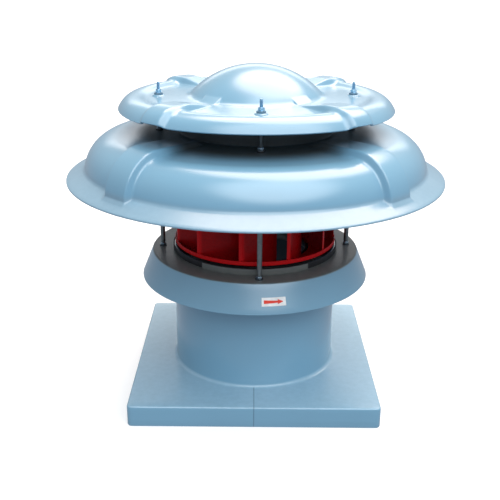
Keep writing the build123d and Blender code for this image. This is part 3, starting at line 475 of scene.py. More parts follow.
FRP = (0.168, 0.345, 0.480)
looks = {
    # frp_base: painted light on the deck and painted shade inside the neck.
    "frp_base": gelcoat(
        "frp_base",
        FRP,
        seam=True,
        overlays=[(painted_deck_light, (0.34, 0.50, 0.62)), (painted_duct_shade, (0.012, 0.012, 0.014))],
    ),
    # frp_collar: dust and painted shade on the shelf.
    "frp_collar": gelcoat("frp_collar", FRP, overlays=[(shelf_dust_and_shade, (0.150, 0.130, 0.098))]),
    # frp_hood: painted shade under the top cap; chalky bloom and painted reflection on the brim.
    "frp_hood": gelcoat(
        "frp_hood", FRP, overlays=[(painted_cap_shade, (0.05, 0.045, 0.034)), (brim_chalk_and_sheen, (0.24, 0.30, 0.35))]
    ),
    "frp_cap": gelcoat("frp_cap", FRP),
    "red_paint": red_paint("red_paint", (0.42, 0.0042, 0.0062)),
    "black_paint": cast("black_paint", (0.018, 0.019, 0.022), 0.0, 420, (0.35, 0.55)),
    # zinc_steel, nut_steel and dark_washer: painted light and reflection above the top cap.
    "zinc_steel": plated("zinc_steel", (0.26, 0.28, 0.29), painted_lit_colour=(0.36, 0.57, 0.74)),
    "nut_steel": plated("nut_steel", (0.40, 0.52, 0.62), 0.18, 0.34, painted_lit_colour=(0.36, 0.56, 0.72)),
    "galvanised": plated("galvanised", (0.22, 0.235, 0.235), 0.36, 0.6, spangle=True),
    "black_rubber": moulded("black_rubber", (0.016, 0.017, 0.020)),
    "dark_washer": moulded("dark_washer", (0.035, 0.045, 0.055), painted_lit_colour=(0.11, 0.20, 0.28)),
    "motor_paint": cast("motor_paint", (0.022, 0.028, 0.036)),
    "cast_aluminium": cast("cast_aluminium", (0.16, 0.165, 0.17), 1.0, 300, (0.45, 0.6)),
    "bright_steel": machined("bright_steel", (0.56, 0.56, 0.57)),
    "laminations": machined("laminations", (0.16, 0.16, 0.17), 0.4),
    "copper_winding": machined("copper_winding", (0.55, 0.20, 0.08), 0.35),
    "bearing_steel": machined("bearing_steel", (0.66, 0.66, 0.67), 0.12),
    "black_plastic": moulded("black_plastic", (0.020, 0.021, 0.023), (0.3, 0.48)),
    "terminal_plastic": moulded("terminal_plastic", (0.05, 0.04, 0.035)),
    "label_plate": moulded("label_plate", (0.92, 0.92, 0.90), (0.25, 0.35), 300),
    "label_red": moulded("label_red", (0.95, 0.035, 0.012), (0.45, 0.6), 300),
}

node_slot = {s["node"]: s["material_slot"] for s in frame["record"]["subparts"]}
body_of_node = {n: b for b, ns in frame["record"]["behaviour"]["bodies"].items() for n in ns}
for node, obj in frame["nodes"].items():
    obj.data.materials.clear()
    obj.data.materials.append(looks[node_slot[node]])


def stands_for(obj, *nodes):
    """Gives a piece the material of its node's slot and its node's body, and hides the node."""
    obj.data.materials.clear()
    obj.data.materials.append(looks[node_slot[nodes[0]]])
    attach(obj, body_of_node[nodes[0]])
    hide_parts(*nodes)
    return obj


# --- Curb cap and neck ---

BASE_CORNER = 12.0
BASE_EDGE = 5.0
DECK_Z = base_low.z + 53.0
NECK_OUTER = 205.0
NECK_FLARE = 18.0
BASE_WALL = 6.0
SEAM_DEPTH = 0.5
LEDGE_INNER, LEDGE_BOTTOM, LEDGE_TOP = 184.0, 310.0, 316.0  # carries the inlet nozzle


def square_ring(half, corner, z, side_points):
    """A rounded square as a ring of points, going round from the middle of the right side."""
    flat = half - corner
    ring = []
    for k in range(4):
        for s in side_points:
            ring.append(placed(np.array([half, s * flat, z]), 0, 0, 90 * k))
        for i in range(1, 6):
            a = i / 6 * pi / 2
            point = np.array([flat + corner * cos(a), flat + corner * sin(a), z])
            ring.append(placed(point, 0, 0, 90 * k))
    return np.array(ring)


def build_base():
    half = base_high.x
    fine = [0.0, 0.0018, 0.0036, 0.012, 0.05]
    side = sorted({-s for s in fine} | set(fine) | {s / 14 * f for s in range(2, 15) for f in (-1, 1)})
    outer = square_ring(half, BASE_CORNER, 0, side)
    angles = np.degrees(np.arctan2(outer[:, 1], outer[:, 0]))
    deck_under = DECK_Z - BASE_WALL
    foot = NECK_OUTER + NECK_FLARE
    bore = NECK_OUTER - BASE_WALL
    top = base_high.z

    def circle_rows(corners):
        return list(around(even(rounded(corners, closed=False, steps=8), 30), angles))

    def deck_rows(z, inset, going_out):
        edge = square_ring(half - BASE_EDGE - inset, max(BASE_CORNER - BASE_EDGE, 2), z, side)
        middle = around(np.array([[foot, z]]), angles)[0]
        shares = np.linspace(0, 1, 8)[1:-1]
        rows = [middle + (edge - middle) * t for t in shares]
        return rows if going_out else rows[::-1]

    def wall_rows(places):
        """Rings of the side wall, each (distance in from the outside, height)."""
        return [square_ring(half - inset, BASE_CORNER - inset, z, side) for inset, z in places]

    rows = circle_rows(
        [(bore + 1.5, top, 0), (NECK_OUTER, top, 1.5), (NECK_OUTER, DECK_Z, NECK_FLARE), (foot, DECK_Z, 0)]
    )
    rows += deck_rows(DECK_Z, 0, True)
    quarter = np.linspace(0, pi / 2, 6)
    rows += wall_rows((BASE_EDGE * (1 - sin(a)), DECK_Z - BASE_EDGE * (1 - cos(a))) for a in quarter)
    rows += wall_rows(((0, 36), (0, 20), (0, 3), (0.6, 0.6), (1.6, 0)))
    rows += wall_rows(((BASE_WALL - 1, 0), *((BASE_WALL, z) for z in (1, 16, 32, 44))))
    rows += wall_rows(((BASE_WALL + 1, 46.2), (BASE_WALL + 3, deck_under)))
    rows += deck_rows(deck_under, BASE_WALL, False)
    rows += circle_rows(
        [
            (foot, deck_under, 0),
            (bore, deck_under, NECK_FLARE + BASE_WALL),
            (bore, LEDGE_BOTTOM, 3),
            (LEDGE_INNER, LEDGE_BOTTOM, 1),
            (LEDGE_INNER, LEDGE_TOP, 1),
            (bore, LEDGE_TOP, 3),
            (bore, top, 1.5),
            (bore + 1.5, top, 0),
        ]
    )[:-1]
    grid = np.array(rows)
    on_seam = (np.abs(grid[..., 0]) < 0.4) & (grid[..., 1] < -NECK_OUTER - 2) & (grid[..., 2] > 8)
    outside = np.zeros(grid.shape[:2], bool)
    outside[: len(rows) // 2] = True
    cut = on_seam & outside
    grid[cut, 2] -= SEAM_DEPTH * (grid[cut, 2] > DECK_Z - BASE_EDGE)
    grid[cut, 1] += SEAM_DEPTH
    parts = Parts()
    parts.skin(grid)
    return stands_for(parts.object("base_shell"), "base_moulding")


build_base()

# --- Weather collar, its upstand, and the black ring round the neck ---

SHELF_TOP = seal_low.z
SHELF_RIM = 259.0
COAMING_TOP = collar_high.z
COAMING_INNER, COAMING_OUTER = 207.4, 210.6
COAMING_HALF_ANGLE = 36.5


def build_collar():
    rim, bottom = collar_high.x, collar_low.z
    drop = SHELF_TOP - bottom
    run = rim - SHELF_RIM
    across = WALL * hypot(run, drop) / drop
    section = rounded(
        [
            (COAMING_INNER - 2, SHELF_TOP - WALL, 1),
            (rim - across - run * (1 - WALL / drop), SHELF_TOP - WALL, 4),
            (rim - across, bottom, 1.2),
            (rim, bottom, 1.6),
            (SHELF_RIM, SHELF_TOP, 5),
            (COAMING_INNER - 2, SHELF_TOP, 1),
        ],
        steps=6,
    )
    section = even(np.vstack([section, section[:1]]), 14)[:-1]
    parts = Parts()
    parts.skin(around(section, full_turn(192)))
    for facing in (-90, 90):
        strip = rounded(
            [
                (COAMING_INNER, SHELF_TOP - 1, 0.3),
                (COAMING_OUTER, SHELF_TOP - 1, 0.3),
                (COAMING_OUTER, COAMING_TOP, 1.2),
                (COAMING_INNER, COAMING_TOP, 1.2),
            ],
            steps=4,
        )
        angles = np.linspace(facing - COAMING_HALF_ANGLE, facing + COAMING_HALF_ANGLE, 60)
        parts.capped(around(strip, angles).transpose(1, 0, 2))
    return stands_for(parts.object("collar_shell"), "weather_collar")


build_collar()
stands_for(
    lathe(
        "neck_seal",
        [
            (seal_high.x, seal_high.z, 0.8),
            (seal_high.x - 1.8, seal_high.z, 0.8),
            (seal_high.x - 1.8, seal_low.z, 0.3),
            (seal_high.x, seal_low.z, 0.3),
        ],
        192,
    ),
    "neck_seal_ring",
)

# --- Hood and top cap: round skins with ribs raised on the diagonals ---

RIB_COUNT = 4
HOOD_RIB_HALF = 38.0
HOOD_RIB_TURN = 0.8
CAP_RIB_SPREAD = 41.2
hood_rib_turns = [HOOD_RIB_TURN + 45 + 90 * k for k in range(RIB_COUNT)]
cap_rib_turns = [90 + side + 180 * k for k in (0, 1) for side in (-CAP_RIB_SPREAD, CAP_RIB_SPREAD)]


def resample(points, count):
    """The same line as this many points, evenly spaced."""
    points = np.asarray(points, float)
    reach = np.concatenate([[0], np.cumsum(np.linalg.norm(np.diff(points, axis=0), axis=1))])
    at = np.linspace(0, reach[-1], count)
    return np.stack([np.interp(at, reach, points[:, k]) for k in (0, 1)], axis=1)


WALL_PLACES = (-8, -5, -3, -1.4, 1.4, 3, 5.5, 9)
WALL_RISES = (1.0, 0.985, 0.90, 0.70, 0.26, 0.10, 0.02, 0.0)
LEAST_R = 120.0  # nearer the axis than this, a rib keeps the angles that it has here


def rise_shape(past):
    """How much of a rib stands this far past the middle of its wall: 1 on its top, 0 beyond its foot."""
    return np.interp(past, WALL_PLACES, WALL_RISES)


def normals(points):
    """Unit normals to the left of an open line."""
    along = np.gradient(points, axis=0)
    along /= np.linalg.norm(along, axis=1)[:, None]
    return np.stack([-along[:, 1], along[:, 0]], axis=1)


def rib_columns(turns):
    """A rib's columns, each its turn, the turn from it to the next rib, and the side of it,
    then the place on its flat top, the place past its wall, or the share of the way to the next rib."""
    flat = (0.0, 0.3, 0.6, 0.85)
    wall = (-8, -6, -5, -4, -3, -2.2, -1.4, -0.5, 0.5, 1.4, 2.2, 3, 4, 5.5, 7, 9)
    rising = [(-1, None, d, 0) for d in wall[::-1]] + [(-1, f, None, 0) for f in flat[:0:-1]]
    falling = [(1, f, None, 0) for f in flat] + [(1, None, d, 0) for d in wall]
    columns = []
    for k, turn in enumerate(turns):
        ahead = (turns[(k + 1) % len(turns)] - turn) % 360
        columns += [(turn, ahead, *c) for c in rising + falling]
        columns += [(turn, ahead, 0, None, None, s / 24) for s in range(1, 24)]
    return columns


def ribbed(plain, ridge, columns, half, wall=lambda radius: 1.0, inset=0.0, reach=None):
    """The grid of a skin whose section turns from plain to ridge at each rib. half is the distance
    from a rib's middle to the middle of its wall, wall stretches the wall's width, inset narrows the rib
    and reach adds to the radius at an angle."""
    grid = np.zeros((len(plain), len(columns), 3))
    for j, (turn, ahead, side, flat, past, share) in enumerate(columns):
        amount = 0.0 if side == 0 else 1.0 if past is None else rise_shape(past)
        line = plain + (ridge - plain) * amount
        radius = line[:, 0]
        floor = np.maximum(radius, LEAST_R)
        middle = half(floor) - inset
        width = wall(floor)
        across = lambda distance: np.degrees(np.arcsin(np.clip(distance / floor, -1, 1)))
        if side == 0:
            edge = across(middle + WALL_PLACES[-1] * width)
            angle = turn + edge + (ahead - 2 * edge) * share
        elif past is None:
            angle = turn + side * across((middle + WALL_PLACES[0] * width) * flat)
        else:
            angle = turn + side * across(middle + past * width)
        if reach is not None:
            radius = radius + reach(radius, angle)
        grid[:, j, 0] = radius * np.cos(np.radians(angle))
        grid[:, j, 1] = radius * np.sin(np.radians(angle))
        grid[:, j, 2] = line[:, 1]
    return grid


CROWN_R, CROWN_Z = 334.0, 645.0
SHOULDER_Z, SHOULDER_REACH = 558.0, 82.0
HOOD_FLAT_R, HOOD_FLAT_Z = 260.0, 650.0
FOOT_R, FOOT_Z = 418.0, 566.0
HOOD_RISE = 16.0
HOOD_RIB_START, HOOD_RIB_FOOT = 205.0, 440.0
HOOD_LIP_R = 187.0


def shoulder(angle, rise=0.0):
    """A point of the hood's round shoulder; 90 degrees is the crown."""
    return (
        CROWN_R + (SHOULDER_REACH + rise) * cos(radians(angle)),
        SHOULDER_Z + (CROWN_Z - SHOULDER_Z + rise) * sin(radians(angle)),
    )


def build_hood():
    brim, lip_top = hood_high.x, hood_high.z
    lip = HOOD_LIP_R
    edge_z = hood_low.z + WALL * 0.8

    def brim_z(radius):
        """Height of the brim's top face, which slopes straight from the foot to the edge."""
        return FOOT_Z - (radius - FOOT_R) * (FOOT_Z - edge_z) / (brim - FOOT_R)

    rib_start = (HOOD_RIB_START, HOOD_FLAT_Z, 0)
    rib_foot = (HOOD_RIB_FOOT, brim_z(HOOD_RIB_FOOT), 0)
    lip_line = even(rounded([(lip, lip_top - 1.5, 0), (lip, HOOD_FLAT_Z, 4), rib_start], False), 8)
    top_plain = rounded([rib_start, (HOOD_FLAT_R, HOOD_FLAT_Z, 30), (*shoulder(90), 0)], False)
    top_rib = rounded(
        [rib_start, (HOOD_RIB_START + 20, CROWN_Z + HOOD_RISE, 10), (*shoulder(90, HOOD_RISE), 0)],
        False,
    )
    over = [shoulder(a) for a in np.linspace(90, 8, 40)]
    over_rib = [shoulder(a, HOOD_RISE) for a in np.linspace(90, 7, 40)]
    foot = rounded([(*shoulder(8), 0), (FOOT_R, FOOT_Z, 9), rib_foot], False, 8)
    foot_rib = rounded([(*shoulder(7, HOOD_RISE), 0), (*shoulder(3, HOOD_RISE), 4), rib_foot], False, 8)
    rest = even(np.array([rib_foot[:2], (brim - 1.5, brim_z(brim - 1.5))]), 7)
    plain, ridge = (
        np.vstack([lip_line, resample(top, 24)[1:], middle[1:], resample(end, 18)[1:], rest[1:]])
        for top, middle, end in ((top_plain, over, foot), (top_rib, over_rib, foot_rib))
    )
    inner = plain - normals(plain) * WALL
    inner_ridge = ridge - normals(ridge) * WALL
    inner[0] = (lip - WALL, lip_top - 1.5)
    inner_ridge[0] = inner[0]
    inner[-1] = (brim - 1.5, hood_low.z)
    inner_ridge[-1] = inner[-1]
    columns = rib_columns(hood_rib_turns)
    half = lambda radius: HOOD_RIB_HALF
    outside = ribbed(plain, ridge, columns, half)
    inside = ribbed(inner, inner_ridge, columns, half, inset=WALL)
    rim = [(brim - 0.3, edge_z - 0.3), (brim, edge_z - 1.5)]
    rim += [(brim, hood_low.z + 1.2), (brim - 0.4, hood_low.z + 0.3)]
    lip_edge = [(lip - WALL, lip_top - 1.5), (lip - WALL + 0.6, lip_top - 0.3), (lip - WALL + 1.8, lip_top)]
    lip_edge += [(lip - 1.8, lip_top), (lip - 0.6, lip_top - 0.3)]
    turned = lambda line: ribbed(np.array(line), np.array(line), columns, half)
    parts = Parts()
    parts.skin(np.concatenate([outside, turned(rim), inside[::-1], turned(lip_edge[1:])])[::-1])
    return stands_for(parts.object("hood_shell", 50), "hood")


build_hood()

CAP_RIM_Z = cap_low.z
CAP_TOP = cap_high.z
CAP_RIM_R = 336.0
CAP_CREST_R, CAP_CREST_Z = 288.0, 738.0
CAP_PAN_R, CAP_PAN_Z = 251.0, 733.0
DOME_R, DOME_FILLET = 217.0, 25.0
CAP_RISE, CAP_REACH, CAP_RIB_ANGLE = 10.0, 10.0, 43.5
CAP_RIB_HALF = 23.0
CAP_SHORT, CAP_WAVE = 2.5, 4.0  # the rim stands in from CAP_RIM_R by this, and this more towards each rod
CAP_PAN_FALL = 3.6
CAP_PAD_R, CAP_PAD_Z, CAP_PAD_DEPTH, ROD_HOLE_R = 14.0, 735.0, 7.0, 4.5


def bezier(a, b, c, d, count):
    t = np.linspace(0, 1, count)[:, None]
    a, b, c, d = (np.array(p, float) for p in (a, b, c, d))
    return a * (1 - t) ** 3 + 3 * b * t * (1 - t) ** 2 + 3 * c * t**2 * (1 - t) + d * t**3


def build_cap():
    dome_z = CAP_TOP - DOME_R
    on_dome = lambda a: (DOME_R * sin(radians(a)), dome_z + DOME_R * cos(radians(a)))
    dome = np.array([on_dome(a) for a in np.linspace(1.2, CAP_RIB_ANGLE, 34)])
    crest_point = (CAP_CREST_R, CAP_CREST_Z)

    def pan(fall):
        """From the dome's flank across the pan, which falls outward by this much, to its crest."""
        high, low_z = CAP_PAN_Z + fall / 2, CAP_PAN_Z - fall / 2
        fillet_z = high + DOME_FILLET
        fillet_r = ((DOME_R + DOME_FILLET) ** 2 - (fillet_z - dome_z) ** 2) ** 0.5
        foot = degrees(asin(fillet_r / (DOME_R + DOME_FILLET)))
        slope = degrees(atan2(fall, CAP_PAN_R - fillet_r))
        low = [on_dome(a) for a in np.linspace(CAP_RIB_ANGLE, foot, 8)]
        low += [
            (fillet_r + DOME_FILLET * cos(a), fillet_z + DOME_FILLET * sin(a))
            for a in np.radians(np.linspace(270 - foot, 270 - slope, 14))[1:]
        ]
        low += [(CAP_PAN_R, low_z)]
        out = (CAP_PAN_R + 20, low_z - 20 * tan(radians(slope)))
        crest = bezier((CAP_PAN_R, low_z), out, (CAP_CREST_R - 17, CAP_CREST_Z), crest_point, 16)
        return np.vstack([dome, resample(low, 36)[1:], crest[1:]])

    roll = bezier(
        crest_point,
        (CAP_CREST_R + 24, CAP_CREST_Z),
        (CAP_RIM_R - 10, CAP_CREST_Z - 11),
        (CAP_RIM_R, CAP_RIM_Z + 3),
        26,
    )
    top = CAP_CREST_Z + CAP_RISE
    start = on_dome(CAP_RIB_ANGLE)
    rib_knee = (start[0] + 26, start[1] - 14, 24)
    low_rib = rounded([(*start, 0), rib_knee, (CAP_PAN_R, top - 0.5, 0)], False, 10)
    crest_rib = np.array([(CAP_PAN_R, top - 0.5), (CAP_CREST_R, top)])
    roll_rib = bezier(
        (CAP_CREST_R, top),
        (CAP_CREST_R + 32, top),
        (CAP_RIM_R + CAP_REACH - 8, top - 14),
        (CAP_RIM_R + CAP_REACH, CAP_RIM_Z + 10),
        26,
    )
    plain = np.vstack([pan(CAP_PAN_FALL), roll[1:]])
    level = np.vstack([pan(0), roll[1:]])
    ridge = np.vstack([dome, resample(low_rib, 36)[1:], resample(crest_rib, 16)[1:], roll_rib[1:]])
    inner = level - normals(level) * WALL
    inner_ridge = ridge - normals(ridge) * WALL
    columns = rib_columns(cap_rib_turns)
    wall = lambda radius: np.interp(radius, [160, 310], [0.55, 2.0])
    half = lambda radius: CAP_RIB_HALF + 5 * wall(radius)
    reach = lambda radius, angle: np.interp(radius, [CAP_PAN_R, CAP_RIM_R], [0, 1]) * (
        -CAP_SHORT - CAP_WAVE * np.cos(np.radians(ROD_COUNT * (angle - ROD_TURN)))
    )
    outside = ribbed(plain, ridge, columns, half, wall, reach=reach)
    inside = ribbed(inner, inner_ridge, columns, half, wall, inset=WALL, reach=reach)
    rounding = ((0.15, 0.9), (0.5, 1.3), (0.85, 0.9))
    under, ridge_under = (
        np.array([out[-1] + (back[-1] - out[-1]) * t - np.array([0, d]) for t, d in rounding])
        for out, back in ((plain, inner), (ridge, inner_ridge))
    )
    edge = ribbed(under, ridge_under, columns, half, wall, reach=reach)
    grid = np.concatenate([outside, edge, inside[::-1]])
    grid[..., 2] = np.maximum(grid[..., 2], CAP_RIM_Z)
    parts = Parts()
    parts.poled(grid, (0, 0, CAP_TOP), (0, 0, CAP_TOP - WALL))
    pad = rounded(
        [
            (ROD_HOLE_R, CAP_PAD_Z, 0.5),
            (CAP_PAD_R - 2, CAP_PAD_Z, 2),
            (CAP_PAD_R + 3, CAP_PAN_Z - 2, 2),
            (CAP_PAD_R - 1, CAP_PAD_Z - CAP_PAD_DEPTH, 1),
            (ROD_HOLE_R, CAP_PAD_Z - CAP_PAD_DEPTH, 0.5),
        ]
    )
    for x, y in rod_places:
        parts.skin(placed(around(pad, full_turn(48)), x, y))
    return stands_for(parts.object("cap_shell", 50), "top_cap")


build_cap()

# --- Impeller ---

BLADE_COUNT = 11
BLADE_SHEET, BLADE_INNER, BLADE_OUTER, BLADE_WRAP = 4.5, 139.0, 206.0, 32.5
FIRST_BLADE = -102.3
SHEET = 2.5
SHROUD_BOTTOM, SHROUD_SLOPE, EYE_R = 371.6, 0.285, 136.0
HUB_R = 28.0


def circle_through(a, b, c):
    """Centre of the circle through three points in plan."""
    d = 2 * (a[0] * (b[1] - c[1]) + b[0] * (c[1] - a[1]) + c[0] * (a[1] - b[1]))
    squares = [p[0] ** 2 + p[1] ** 2 for p in (a, b, c)]
    x = (squares[0] * (b[1] - c[1]) + squares[1] * (c[1] - a[1]) + squares[2] * (a[1] - b[1])) / d
    y = (squares[0] * (c[0] - b[0]) + squares[1] * (a[0] - c[0]) + squares[2] * (b[0] - a[0])) / d
    return np.array([x, y])


def build_impeller():
    rim, bottom = shroud_high.x, SHROUD_BOTTOM
    eye, eye_z = EYE_R, shroud_low.z
    lip_top = shroud_high.z
    inside = rim - SHEET
    top = lambda r: bottom + SHEET - SHROUD_SLOPE * (inside - r)
    stands_for(
        lathe(
            "impeller_ring",
            [
                (rim, bottom, 2.6),
                (rim, lip_top, 1.1),
                (inside, lip_top, 1.1),
                (inside, top(inside), 2.5),
                (eye, top(eye), 8),
                (eye, eye_z, 1.1),
                (eye + SHEET, eye_z, 1.1),
                (eye + SHEET, top(eye + SHEET) - SHEET, 8),
                (inside, bottom, 1),
            ],
            192,
        ),
        "impeller_front_shroud",
    )
    stands_for(
        lathe(
            "impeller_plate",
            [
                (HUB_R, back_low.z, 0.6),
                (rim, back_low.z, 1.2),
                (rim, back_high.z, 1.2),
                (HUB_R, back_high.z, 0.6),
            ],
            192,
        ),
        "impeller_back_plate",
    )
    parts = Parts()
    outer_reach, inner_reach = inside - 0.1, eye + 1
    blade_top = back_low.z
    for k in range(BLADE_COUNT):
        tip = FIRST_BLADE + 360 / BLADE_COUNT * k
        a = np.array(polar(BLADE_OUTER, tip))
        b = np.array(polar((BLADE_OUTER + BLADE_INNER) / 2, tip + 0.41 * BLADE_WRAP))
        c = np.array(polar(BLADE_INNER, tip + BLADE_WRAP))
        middle = circle_through(a, b, c)
        radius = np.linalg.norm(a - middle)
        angle = lambda p: atan2(p[1] - middle[1], p[0] - middle[0])
        first, last = angle(a), angle(c)
        turn = (last - first + pi) % (2 * pi) - pi
        lines = []
        for side in (-1, 1):
            reach = radius + side * BLADE_SHEET / 2
            fine = np.linspace(-0.06, 1.03, 400)
            swept = first + turn * fine
            line = middle + reach * np.stack([np.cos(swept), np.sin(swept)], axis=1)
            far = np.hypot(line[:, 0], line[:, 1])
            keep = line[(far <= outer_reach) & (far >= inner_reach)]
            lines.append(resample(keep, 22))
        out, back = lines
        bevel = 0.6
        ring = []
        for here, other in ((out, back), (back[::-1], out[::-1])):
            side = (other[0] - here[0]) / np.linalg.norm(other[0] - here[0])
            ring.append(here[0] + side * bevel)
            ahead = (here[1] - here[0]) / np.linalg.norm(here[1] - here[0])
            ring.append(here[0] + ahead * bevel)
            ring += list(here[1:-1])
            ahead = (here[-2] - here[-1]) / np.linalg.norm(here[-2] - here[-1])
            ring.append(here[-1] + ahead * bevel)
            side = (other[-1] - here[-1]) / np.linalg.norm(other[-1] - here[-1])
            ring.append(here[-1] + side * bevel)
        ring = np.array(ring)
        far = np.hypot(ring[:, 0], ring[:, 1])
        low = top(far) - 0.4
        shares = np.concatenate([[0], np.linspace(0.01, 0.99, 9), [1]])
        rows = [np.column_stack([ring, low + (blade_top - low) * share]) for share in shares]
        parts.capped(np.array(rows)[::-1])
    stands_for(parts.object("impeller_vanes"), "impeller_blades")


build_impeller()

# --- Tie rods, tubes, washers and nuts ---

THREAD_PITCH = 1.25
THREAD_STEPS = 18  # to a turn
ROD_R, THREAD_DEPTH = 4.0, 0.68
NUT_FLATS, NUT_BORE = 13.0, 4.05
WASHER_BORE, TUBE_BORE = 4.3, 4.6


def rod_skins(parts, x, y, bottom, top, threaded):
    """A rod's core with chamfered ends, and a wound ridge on each threaded length."""
    core = ROD_R - THREAD_DEPTH
    ends = [(0.05, bottom, 0), (core, bottom, 0.6), (core, top, 0.6), (0.05, top, 0)]
    outline = even(rounded(ends, closed=False), 30)
    grid = placed(around(outline, full_turn(24)), x, y)[::-1]
    parts.poled(grid, (x, y, top), (x, y, bottom))
    for low, high in threaded:
        turns = (high - low - THREAD_PITCH) / THREAD_PITCH
        steps = int(turns * THREAD_STEPS)
        wound = np.arange(steps + 1) / THREAD_STEPS
        depth = np.minimum(1, np.minimum(wound, turns - wound) * 2).clip(0.05)
        z = low + THREAD_PITCH * (wound + 0.5)
        crest = core - 0.1 + (THREAD_DEPTH + 0.1) * depth
        section = [(core - 0.15, -0.56), (crest, -0.09), (crest, 0.09), (core - 0.15, 0.56)]
        turn = 2 * pi * wound
        lines = [np.stack([x + r * np.cos(turn), y + r * np.sin(turn), z + dz], axis=1) for r, dz in section]
        parts.capped(np.stack(lines, axis=1))


# Threads show at the shelf, at the hood and at the top cap.
threaded_lengths = ((rod_low.z + 1, 366), (642, 722), (726, rod_high.z - 0.8))
parts = Parts()
for x, y in rod_places:
    rod_skins(parts, x, y, rod_low.z, rod_high.z, threaded_lengths)
stands_for(parts.object("rods", 30), "tie_rods")


def nut_grid(bottom, top, columns=72):
    """A hexagon nut chamfered to a cone at both ends."""
    angles = np.arange(columns) * 2 * pi / columns
    hexagon = NUT_FLATS / 2 / np.cos((angles % (pi / 3)) - pi / 6)
    height = top - bottom
    bore, countersink = np.full(columns, NUT_BORE), np.full(columns, NUT_BORE + 0.6)
    chamfer = [
        (z, np.minimum(hexagon, NUT_FLATS / 2 - 0.25 + z * 0.78)) for z in (0, 0.25, 0.5, 0.8, 1.15, 1.6)
    ]
    rows = [(0, countersink), *chamfer, *((height - z, r) for z, r in chamfer[::-1]), (height, countersink)]
    rows += [(height - 0.6, bore), (0.6, bore)]
    return np.array(
        [np.stack([r * np.cos(angles), r * np.sin(angles), 0 * angles + bottom + z], axis=1) for z, r in rows]
    )


nut_turns = (7, 22, 41, 13)
nut_nodes = ("shelf_nuts", "under_shelf_nuts", "hood_nuts", "cap_support_nuts", "cap_nuts")
for index, node in enumerate(nut_nodes):
    low, high = node_box(node)
    parts = Parts()
    for k, (x, y) in enumerate(rod_places):
        parts.skin(placed(nut_grid(low.z, high.z), x, y, nut_turns[(k + index) % ROD_COUNT]))
    stands_for(parts.object(node + "_hex", 25), node)


def ring_set(node, bore, rounding, tall=False):
    """The washers or tubes of a node, as rings with rounded edges at the four rods."""
    low, high = node_box(node)
    reach = high.x - max(x for x, _ in rod_places)
    corners = ((reach, low.z), (reach, high.z), (bore, high.z), (bore, low.z))
    section = rounded([(*corner, rounding) for corner in corners], steps=4)
    if tall:
        section = even(np.vstack([section, section[:1]]), 12)[:-1]
    parts = Parts()
    for x, y in rod_places:
        parts.skin(placed(around(section, full_turn(56)), x, y)[::-1])
    stands_for(parts.object(node + "_round", 35), node)


for node in (
    "shelf_washers",
    "under_shelf_washers",
    "hood_rubber_washers",
    "hood_washers",
    "cap_support_washers",
    "cap_washers",
    "cap_seal_washers",
):
    ring_set(node, WASHER_BORE, 0.35)
for node in ("lower_spacer_tubes", "upper_spacer_tubes"):
    ring_set(node, TUBE_BORE, 0.5, tall=True)

SPIGOT_R = 65.0

stands_for(
    lathe(
        "deck_plate",
        [
            (SPIGOT_R, plate_low.z, 0.8),
            (plate_high.x, plate_low.z, 1.2),
            (plate_high.x, plate_high.z, 1.2),
            (SPIGOT_R, plate_high.z, 0.8),
        ],
        160,
    ),
    "motor_plate",
)

# --- Direction label: a white plate on the flare, with a plain red arrow ---

COLLAR_RIM, COLLAR_BOTTOM = collar_high.x, collar_low.z
LABEL_W, LABEL_H, LABEL_TURN, LABEL_UP, LABEL_SHEET = 56.0, 20.0, 9.0, 0.42, 0.6
flare = hypot(COLLAR_RIM - SHELF_RIM, SHELF_TOP - COLLAR_BOTTOM)
flare_in = (COLLAR_RIM - SHELF_RIM) / flare
flare_up = (SHELF_TOP - COLLAR_BOTTOM) / flare
label_r = COLLAR_RIM - (COLLAR_RIM - SHELF_RIM) * LABEL_UP
label_z = COLLAR_BOTTOM + (SHELF_TOP - COLLAR_BOTTOM) * LABEL_UP


def on_flare(u, v, out):
    """A point of the flare from (across, up) in the label's own plane, this far off the collar."""
    radius = label_r - v * flare_in + out * flare_up
    turn = radians(LABEL_TURN - 90) + u / label_r
    return np.array([radius * cos(turn), radius * sin(turn), label_z + v * flare_up + out * flare_in])


def flare_plate(name, outline, low, high):
    """A thin closed plate on the flare, its flat outline cut in strips so that it follows the curve."""
    bm = bmesh.new()
    face = bm.faces.new([bm.verts.new((u, v, 0)) for u, v in outline])
    for cut in np.linspace(-LABEL_W / 2, LABEL_W / 2, 29)[1:-1]:
        everything = bm.verts[:] + bm.edges[:] + bm.faces[:]
        bmesh.ops.bisect_plane(bm, geom=everything, plane_co=(cut, 0, 0), plane_no=(1, 0, 0), dist=1e-5)
    bmesh.ops.recalc_face_normals(bm, faces=bm.faces)
    raised = bmesh.ops.extrude_face_region(bm, geom=bm.faces[:])
    for v in [g for g in raised["geom"] if isinstance(g, bmesh.types.BMVert)]:
        v.co.z = 1
    for v in bm.verts:
        v.co = Vector(on_flare(v.co.x, v.co.y, high if v.co.z > 0.5 else low)) * MM
    bmesh.ops.recalc_face_normals(bm, faces=bm.faces)
    mesh = bpy.data.meshes.new(name)
    bm.to_mesh(mesh)
    bm.free()
    return make_object(name, mesh, 40)


square = ((-1, -1), (1, -1), (1, 1), (-1, 1))
plate_line = rounded([(s * LABEL_W / 2, t * LABEL_H / 2, 1.2) for s, t in square])
stands_for(flare_plate("label", plate_line, -0.1, LABEL_SHEET - 0.15), "direction_label")
arrow_line = rounded(
    [
        (-23, -4.2, 0.5),
        (9, -2.4, 0.5),
        (9, -5.6, 0.5),
        (22.5, 0, 0.7),
        (9, 5.6, 0.5),
        (9, 2.4, 0.5),
        (-23, 4.2, 0.5),
    ]
)
arrow = flare_plate("label_arrow", arrow_line, 0.2, LABEL_SHEET)
arrow.data.materials.append(looks["label_red"])
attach(arrow, "frame")

# --- Floor, light and camera ---

